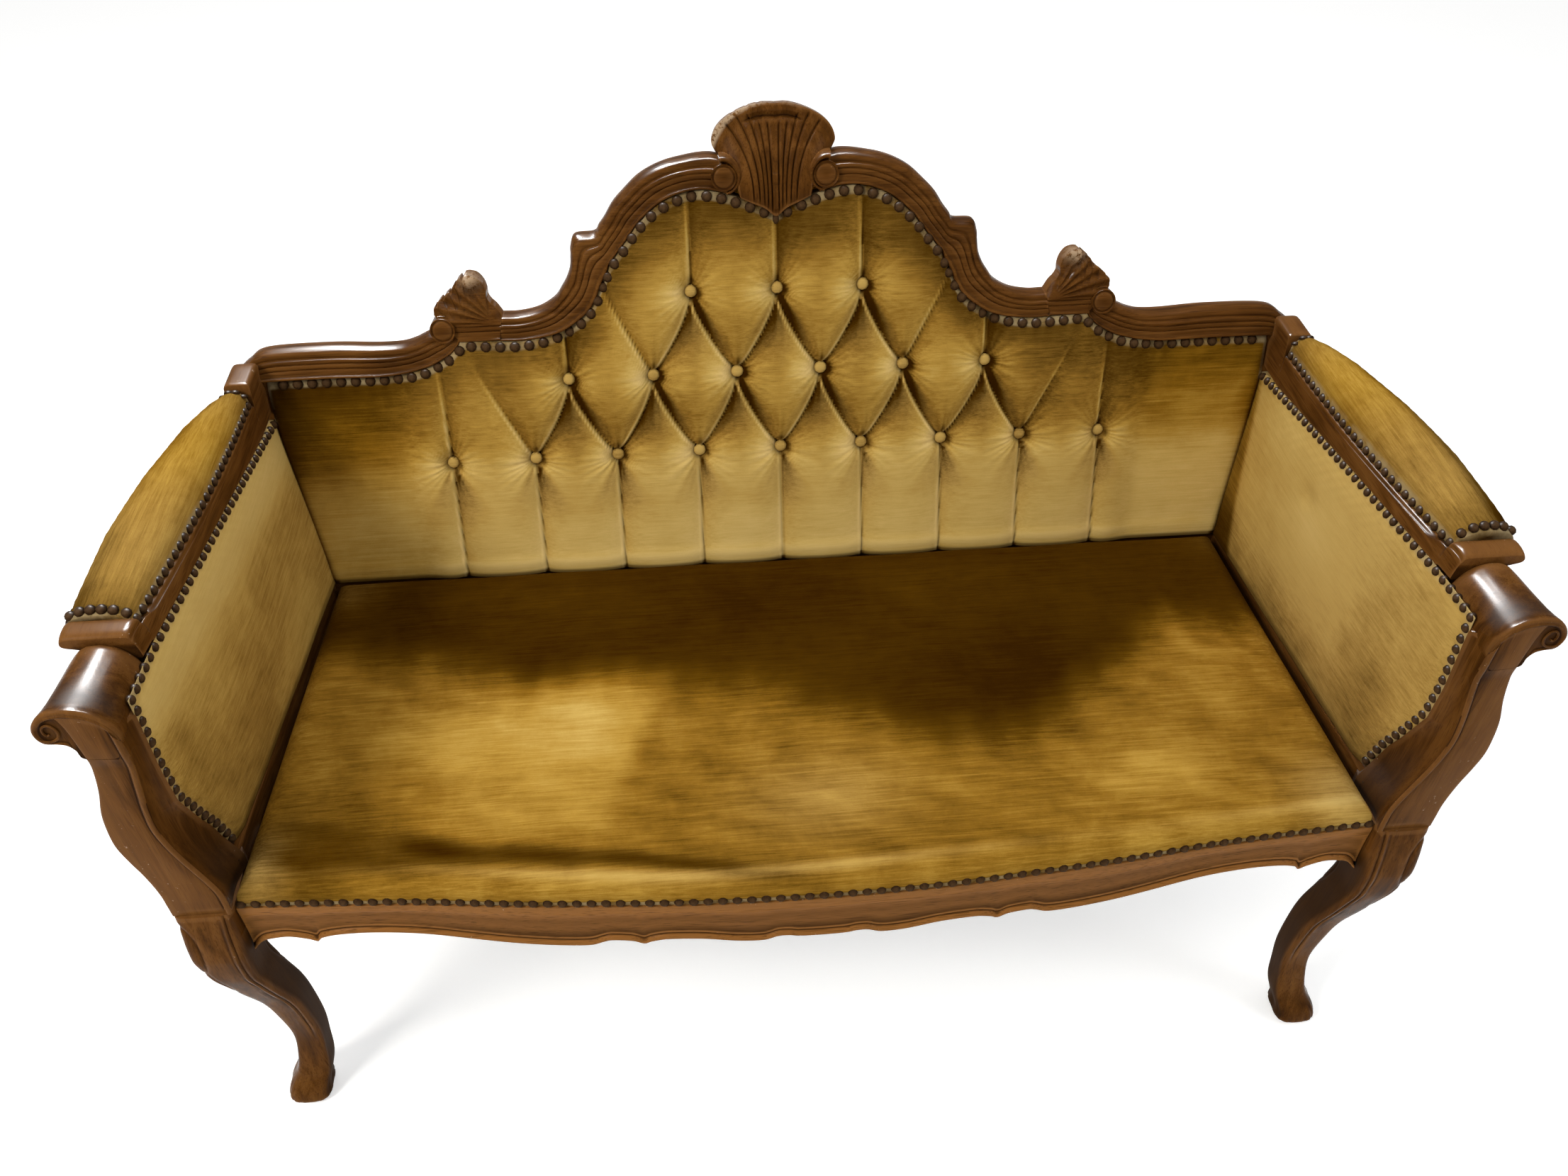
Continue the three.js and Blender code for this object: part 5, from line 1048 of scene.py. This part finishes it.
def arm_wood(side, tag):
    """Arm rail: sloping inner lip, a seat for the pad, and a rounded block at each end."""
    y = np.concatenate([BLOCK_STEPS, np.linspace(-351, 13, 120), POST_STEPS])
    front_block, rear_block = smooth(-351.8, -352.3, y), smooth(13.5, 14, y)
    block, seat = np.maximum(front_block, rear_block), arm_seat(y)
    ease = 2.4 * fade(y - ARM_END, 1.4) + 1.2 * bell(y + 352.6, 1.2) + 1.2 * bell(y - 14.4, 1)
    top = seat + (FRONT_BLOCK_TOP - seat) * front_block + (REAR_BLOCK_TOP - seat) * rear_block
    top = top - ease * block + 2 * hump(np.clip((y + ROLL_BACK) / 24, 0, 1)) * front_block
    swept = seat + 12 * smooth(-318, -352, y) + 24 * smooth(-26, 14, y)
    lip_top, bottom = np.minimum(mix(swept, top, block), top + 9), pad_top(y) + GAP
    share, outer = plan_share(y), arm_outer(y)
    inner = BACK_HALF - 12 * (1 - share) - 20 * share * (1 - share)
    shoulder = np.minimum(arm_shoulder(y), outer - 10) - 3 * block
    corners = ((inner, bottom), (inner + 0.8, mix(bottom, lip_top, 0.35)),
               (mix(inner, shoulder, 0.45), mix(bottom, lip_top, 0.78)),
               (mix(inner, shoulder, 0.62), mix(bottom, lip_top, 0.80)),
               (shoulder - 0.5, top), (outer - 4, top), (outer, top - 4),
               (outer - block, mix(mix(bottom, top, 0.5), top - 9, block)),
               (outer - 5 - 9 * block, mix(bottom, top - 12, block)))
    ring = round_corners(np.stack([joined(*c) for c in corners], axis=1), (2.4 + 2.6 * block)[:, None, None])
    rings = joined(ring[..., 0], y[:, None], ring[..., 1])
    last = rings[-1:].repeat(6, axis=0)
    high = last[..., 2]
    post = np.where(high < 679.2, post_front(high), (high - 1.4 - SEAT) * TAN - 5.4)
    last[..., 1] = mix(last[..., 1], post, np.array([0.2, 0.4, 0.6, 0.8, 0.95, 1])[:, None])
    last[..., 2] -= np.array([0, 0, 0, 0, 0.6, 1.6])[:, None] * (high > 700)
    carved("arm_rail_wood_" + tag, [loft_parts(np.concatenate([rings, last]))], "arm_rail_" + tag, side, walnut_y,
           40, 8, 0.8)


def leg_wood(side, tag):
    """Cabriole leg: x = middle + w/2 |cos t|^e, e from 0.62 at the foot to 0.36 above, carved at the knee."""
    share = np.linspace(0, 1, 220)[:, None]
    out, forward, wide = (read(spline(LEG, 400), share, k) for k in (1, 2, 3))
    outer, front, edge = 608 + 36 * out, -440 - 36 * forward, 58 * wide
    t, z = np.linspace(0, TURN, 128, endpoint=False), LEG_TOP * share
    ease = mix(0.62, 0.36, smooth(12, 80, z))
    cx, cy = (np.sign(c) * np.abs(c) ** ease for c in (np.cos(t), np.sin(t)))
    x, y = outer - edge / 2 + edge / 2 * cx, front + edge / 2 + edge / 2 * cy
    q = (outer - x) - (y - front)
    on_front, from_inner = smooth(8, 2, y - front), x - (outer - edge)
    oval = np.sqrt((q / 15) ** 2 + ((z - 352) / 38) ** 2)
    tip = np.sqrt((q / 9) ** 2 + ((z - 290) / 34) ** 2)
    cut = np.maximum(1.5 * bell((oval - 1) * 14, 1.5) * smooth(2.2, 1.6, oval),
                     bell((tip - 1) * 9, 1.4) * (z < 316) * smooth(250, 262, z))
    bead = sum(a * bell(from_inner - at, reach) for a, at, reach in
               ((1.5, 5, 1.8), (-1.6, 8.6, 1.1), (1, 11.4, 1.4), (-0.9, 14, 1)))
    foot = 0.7 * np.cos(t * 14) * smooth(40, 22, z) * smooth(2, 8, z)
    push = 1.2 * smooth(1, 0.2, oval) - cut + bead * on_front * smooth(96, 150, z) - np.maximum(foot, 0)
    push = push * 0.8 - 5 * np.clip(1 - z / 9, 0, 1) ** 2
    rings = joined(x + push * np.cos(t), y + push * np.sin(t), z)
    piece = carved("leg_front_wood_" + tag, [loft_parts(rings)], "front_leg_" + tag, side, walnut_z, 45, 10, 0.8)
    shade = smooth(0.35, 0.9, -cx) * (1 - on_front) * smooth(372, 345, z) + smooth(0.2, 0.9, cy)
    set_marks(piece, {"shade": np.append(np.clip(shade, 0, 1), [0, 0])})


def apron():
    """Front rail: its lower edge hangs 20 s(|x|) mm, with a bead along it and a groove above."""
    x = np.linspace(-RAIL_HALF, RAIL_HALF, 640)[:, None]
    low = RAIL_FOOT - SCALLOP_DROP * read(spline(SCALLOP, 700), np.abs(x) / RAIL_HALF)
    front = soft_front(x * SEAT_FRONT_HALF / RAIL_HALF) - 2
    body = mix(low + RAIL_RISE[-1], RAIL_CAP - 0.6, np.array([0.25, 0.5, 0.75, 0.93, 1]))
    y = np.hstack([front + RAIL_DEPTH, front - RAIL_PROUD, front + 2, front + RAIL_DEPTH])
    z = np.hstack([low, low + RAIL_RISE, body, np.full((len(x), 2), RAIL_CAP)])
    carved("seat_apron_wood", [loft_parts(joined(x, y, z))], "seat_rail_front", 1, walnut_front_lit, 40, 8, 0.6)


# Dome nails
CREST_NAILS = table((567, 681), (510, 679), (456, 678), (410, 684), (383, 694), (365, 707), (354, 715), (316, 713),
                    (276, 714), (245, 722), (215, 740), (196, 771), (185, 795), (165, 818), (143, 843), (117, 860),
                    (87, 867), (65, 867), (39, 858), (12, 849), (0, 840))
BACK_NAIL, FRONT_NAIL, ARM_NAIL = (6.2, 4.2), (5.2, 3.2), (5, 3.2)
NAIL_STEP, NAIL_SIDES, NAIL_LEVEL = 16.2, 10, 406
NAIL_RADII, NAIL_HEIGHTS = np.array([1, 0.96, 0.68, 0.3]), np.array([-0.35, 0.28, 0.8, 0.98])
# Paler towards each dome's top: wear and a painted highlight.
NAIL_WORN_AND_HIGHLIGHT = np.append(np.repeat([0, 0.1, 0.5, 0.9], NAIL_SIDES), [1, 0])


def nails(name, rows, radius, height):
    """Domes on lines of centres, each line with its normal: ring radii r k and heights h k."""
    centres = np.vstack([line for line, _ in rows])
    normals = unit(np.vstack([np.broadcast_to(normal, line.shape) for line, normal in rows]))
    helper = np.where(np.abs(normals[:, 2:3]) < 0.9, [[0, 0, 1]], [[1, 0, 0]])
    u = unit(np.cross(helper, normals))[:, None, None]
    w = np.cross(normals[:, None, None], u)
    turn = np.linspace(0, TURN, NAIL_SIDES, endpoint=False)[:, None]
    ring = (NAIL_RADII[:, None, None] * radius * (np.cos(turn) * u + np.sin(turn) * w)
            + NAIL_HEIGHTS[:, None, None] * height * normals[:, None, None]) + centres[:, None, None]
    count, per = len(centres), 4 * NAIL_SIDES + 2
    tips = [(centres + normals * height * k)[:, None] for k in (1, NAIL_HEIGHTS[0])]
    points = np.concatenate([ring.reshape(count, -1, 3), *tips], axis=1).reshape(-1, 3)
    first = np.arange(NAIL_SIDES)
    starts = np.arange(count)[:, None, None] * per
    polys = [(block[None] + starts).reshape(-1, block.shape[1])
             for block in (grid_quads(4, NAIL_SIDES, True), fan(3 * NAIL_SIDES + first, per - 2),
                           fan(first, per - 1)[:, ::-1])]
    dress(new_piece(name, points, polys, {"worn_and_highlight": np.tile(NAIL_WORN_AND_HIGHLIGHT, count)}), antique_nail)


def all_nails():
    """Nails under the crest, along the seat's front, and inside and on top of each arm."""
    whole = np.vstack([CREST_NAILS, (CREST_NAILS * [-1, 1])[-2::-1]])
    length = np.linalg.norm(np.diff(spline(whole, 600), axis=0), axis=1).sum()
    x, z = spline(whole, int(round(length / NAIL_STEP)) + 1).T
    z = np.minimum(z, crest_height(x) - 5.6)
    line = lean(x, z, back_relief(x, z)[0] - 0.2)
    nails("nails_back", [(line, lean_normal(0, 0.25, 1))], *BACK_NAIL)
    x = np.linspace(-580, 580, 81)
    nails("nails_seat_front", [(joined(x, soft_front(x) - 0.2, NAIL_LEVEL), [0, -1, 0.2])], *FRONT_NAIL)
    top = inside_point(1 - 4 / 262, np.linspace(0.012, 0.985, 36))[0] + [1, 0, 0]
    front = inside_point(np.linspace(0.03, 0.935, 19), 4.6 / PAD_FRONT)[0] + [0.4, 0, 0]
    for side, tag in SIDE_NAMES:
        inside = [(top, [-1, 0, 0.45]), (front, [-1, -0.5, 0.1])]
        y = np.linspace(6, -344, 28)
        over = [(joined(arm_shoulder(y) + 1.9, y, arm_seat(y) + 4.2), [-1, 0, 0.4]),
                (joined(arm_outer(y) + 0.1, y, arm_seat(y) + 4.2), [1, 0, 0.4])]
        for end_y, count, facing in ((5.4 - BLOCK_START, 6, -0.6), (ARM_START - 5, 4, 0.6)):
            across = np.linspace(0.08, 0.92, count)
            z = arm_seat(end_y) + pad_crown(side, 0.015) * np.sin(np.arccos(1 - 2 * across)) ** 0.62 + 0.2
            x = mix(arm_shoulder(end_y) + 2, arm_outer(end_y), across)
            over.append((joined(x, end_y, z), [0, facing, 1]))
        for name, rows in (("nails_arm_inside_", inside), ("nails_arm_top_", over)):
            nails(name + tag, [(line * [side, 1, 1], np.array(normal) * [side, 1, 1]) for line, normal in rows],
                  *ARM_NAIL)


# Cloth on the outside, and what lies under the seat
CLOTH, LINING = 1.6, 0.45
COVER_HALF, COVER_FOOT, COVER_TUCK, COVER_BACK = 567.5, 432.5, 16, 24.6
DUST_HALF, DUST_SIDE, DUST_LEVEL, DUST_MARGIN = 590, 585.6, 351, 4.6
CORNER_INNER, CORNER_FRONT = 556.5, -408.5
STRAP = table((-26, 0.55), (26, 0.55), (26, -0.55), (-26, -0.55))
STRAP_LEVEL, STRAP_PITCH, STRAP_ROW, STRAP_FIRST, STRAP_HALF = 399.2, 78, 73, 395, 555


def cloth_sheet(name, grid, offset, node, slot, side, material):
    """Stretched sheet: a slab under the grid, its border moved by the offset."""
    marks = {"nap": 0.5, "buff": 0, "crease": 0, "edge": 0}
    piece = slab(name, grid, lambda p: p + offset, marks, side)
    dress(piece, material, slot, node)


def outside_cloth():
    """Arm covers between rail and arm rail, and the back's cover as p = lean(x, h, -24.6 + 0.9 crown)."""
    up, share = np.linspace(0, 1, 60)[:, None], np.linspace(0, 1, 100)
    low_y, high_y = (mix(ARM_END, post_front(z), share) for z in (PAD_INSIDE_BOTTOM, ARM_TOP_BACK))
    low_x = BACK_HALF + mix(7, 19, np.clip(-low_y / SEAT_SIDE, 0, 1)) - 1.5
    high_x = np.maximum(low_x, arm_outer(high_y) - 8)
    grid = joined(mix(low_x, high_x, up) - 0.4 - 0.5 * hump(up) * hump(share), mix(low_y, high_y, up),
                  mix(PAD_INSIDE_BOTTOM, pad_top(high_y), up))
    for side, tag in SIDE_NAMES:
        cloth_sheet("outside_arm_cloth_" + tag, grid, (-CLOTH, 0, 0), "outside_arm_panel_" + tag, "velvet",
                    side, velvet_along)
    u, v = np.linspace(-1, 1, 260), np.linspace(0, 1, 90)[:, None]
    x = u * COVER_HALF
    before = 0.9 * hump(v) * np.cos(PI * u / 2) - COVER_BACK
    grid = lean(x, mix(COVER_FOOT, crest_height(x) + COVER_TUCK, v), before)
    cloth_sheet("outside_back_cloth", grid, (0, -CLOTH * COS, CLOTH * SIN), "outside_back_panel", "velvet",
                1, velvet_across)


def under_seat():
    """Dust cover z = 351 - 0.5 crown, and straps woven as z = 399.2 +- 0.7 cos."""
    u, v = np.linspace(-1, 1, 120), np.linspace(0, 1, 50)[:, None]
    x = u * DUST_HALF
    y = mix(DUST_MARGIN, np.where(np.abs(x) > CORNER_INNER, CORNER_FRONT, soft_front(x) + RAIL_DEPTH - 0.2), v)
    half = mix(SEAT_BACK_HALF, SEAT_FRONT_HALF, np.clip(-y / SEAT_SIDE, 0, 1)) + DUST_MARGIN
    grid = joined(u * np.minimum(half, DUST_SIDE), y, DUST_LEVEL - 0.5 * hump(v) * np.cos(PI * u / 2))
    cloth_sheet("dust_cover_cloth", grid, (0, 0, LINING), "dust_cover", "lining",
                1, lining_cloth)
    t = np.linspace(0, 1, 161)[:, None]
    wide, thick = STRAP.T
    parts = []
    for k, middle in enumerate(np.linspace(-STRAP_FIRST, -30, 6)):
        x = mix(-STRAP_HALF, STRAP_HALF, t)
        lift = STRAP_LEVEL + 0.7 * np.cos((x / STRAP_PITCH + k) * PI)
        parts.append(loft_parts(joined(x, middle + wide, lift + thick)))
    for k in range(-6, 7):
        y = mix(4, soft_front(k * STRAP_PITCH) + RAIL_DEPTH, t)
        lift = STRAP_LEVEL - 0.7 * np.cos((k + (y + STRAP_FIRST) / STRAP_ROW) * PI)
        parts.append(loft_parts(joined(k * STRAP_PITCH + wide, y, lift + thick)))
    straps = new_piece("seat_webbing_straps", *combine(parts), None, 1, 40)
    dress(straps, jute_webbing, "webbing", "seat_webbing")


def wood_nodes():
    """Finish of the wooden nodes that stay as they are."""
    finishes = {"seat_rail_rear": beech, "seat_brace": beech}
    for _, tag in SIDE_NAMES:
        finishes.update({"back_post_" + tag: walnut_z, "seat_rail_" + tag: walnut_y,
                         "corner_block_front_" + tag: beech, "corner_block_rear_" + tag: beech})
    for node, material in finishes.items():
        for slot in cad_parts[node].material_slots:
            slot.material = material


# Camera: where the photograph was taken from
CAMERA_PLACE, CAMERA_YAW, CAMERA_PITCH, CAMERA_LENS = (-0.1001, -1.0199, 1.5039), -0.0844, 0.7583, 29.14


def aim_camera():
    """Camera turned by its yaw and tipped down by its pitch."""
    yaw, pitch = CAMERA_YAW, CAMERA_PITCH
    look = Vector((-math.sin(yaw) * math.cos(pitch), math.cos(yaw) * math.cos(pitch), -math.sin(pitch)))
    right = Vector((math.cos(yaw), math.sin(yaw), 0))
    data = bpy.data.cameras.new("camera")
    data.sensor_width, data.lens = 36, CAMERA_LENS
    camera = bpy.data.objects.new("camera", data)
    bpy.context.scene.collection.objects.link(camera)
    turn = Matrix((right, right.cross(look), -look)).transposed()
    camera.matrix_world = Matrix.Translation(CAMERA_PLACE) @ turn.to_4x4()
    bpy.context.scene.camera = camera


# Lamps: name, place, target, size, power, tint, and whether it lights surfaces or only shines in them
LAMPS = [("key", (-2, -1.3, 2.5), (0.1, 0, 0.4), (0.9, 0.9), 52, (1, 0.97, 0.92), True),
         ("top", (0.4, 0.5, 3), (0, 0, 0.4), (2.2, 1.2), 26, (1, 1, 1), True),
         ("side", (2.4, -1.2, 2), (0, 0, 0.5), (0.8, 0.8), 12, (0.95, 0.97, 1), True),
         ("streaks", (-0.3, 0.9, 2.6), (0, -0.2, 0.6), (1.6, 0.2), 1100, (1, 1, 1), False),
         ("roll_streaks", (-0.9, 1.6, 3), (0, -0.4, 0.7), (0.14, 1.2), 2300, (1, 1, 1), False)]
WORLD_LEVEL, FLOOR_LEVEL, FLOOR_HALF = 0.42, 0.5, 14


def studio():
    """Lamps, a plain sky, and a floor that glows to the camera and in reflections only."""
    for name, place, target, size, power, tint, lights in LAMPS:
        data = bpy.data.lights.new(name, "AREA")
        data.shape, data.size, data.size_y = "RECTANGLE", size[0], size[1]
        data.energy, data.color = power, tint
        lamp = bpy.data.objects.new(name, data)
        bpy.context.scene.collection.objects.link(lamp)
        lamp.location = place
        lamp.rotation_euler = (Vector(target) - Vector(place)).to_track_quat("-Z", "Y").to_euler()
        lamp.visible_diffuse = lights
    world = bpy.data.worlds.new("studio")
    bpy.context.scene.world = world
    world.use_nodes = True
    sky = world.node_tree.nodes["Background"]
    sky.inputs["Color"].default_value = rgba(1, 1, 1)
    sky.inputs["Strength"].default_value = WORLD_LEVEL
    net = Net("studio_floor")
    camera_ray, glossy_ray, through_ray = (net.node("ShaderNodeLightPath", {}, "Is %s Ray" % ray)
                                           for ray in ("Camera", "Glossy", "Transmission"))
    seen = camera_ray.most(glossy_ray).most(through_ray)
    pale = net.blend(seen, rgba(0, 0, 0), rgba(*(FLOOR_LEVEL,) * 3))
    net.finish(Base_Color=rgba(0.92, 0.92, 0.91), Roughness=0.9, Specular_IOR_Level=0.1, Emission_Color=pale,
               Emission_Strength=1)
    mesh = bpy.data.meshes.new("studio_floor")
    corners = [(x * FLOOR_HALF, y * FLOOR_HALF, 0) for x, y in ((-1, -1), (1, -1), (1, 1), (-1, 1))]
    mesh.from_pydata(corners, [], [(0, 1, 2, 3)])
    mesh.materials.append(net.material)
    floor = bpy.data.objects.new("studio_floor", mesh)
    bpy.context.scene.collection.objects.link(floor)


back_velvet()
seat_velvet()
for direction, name_end in SIDE_NAMES:
    inside_arm_velvet(direction, name_end)
    arm_velvet(direction, name_end)
for button_row, place_in_row, button_x, _ in BUTTONS:
    button_piece(button_row, place_in_row, button_x)
crest()
for direction, name_end in SIDE_NAMES:
    carved("arm_front_" + name_end, [arm_body(), arm_roll(), scroll_spiral()], "arm_support_" + name_end,
           direction, walnut_z, 42, 12, 0.9, {"shade": cove_shade})
for direction, name_end in SIDE_NAMES:
    arm_wood(direction, name_end)
    leg_wood(direction, name_end)
apron()
all_nails()
outside_cloth()
under_seat()
wood_nodes()
aim_camera()
studio()
bpy.context.scene.view_settings.view_transform = "Standard"
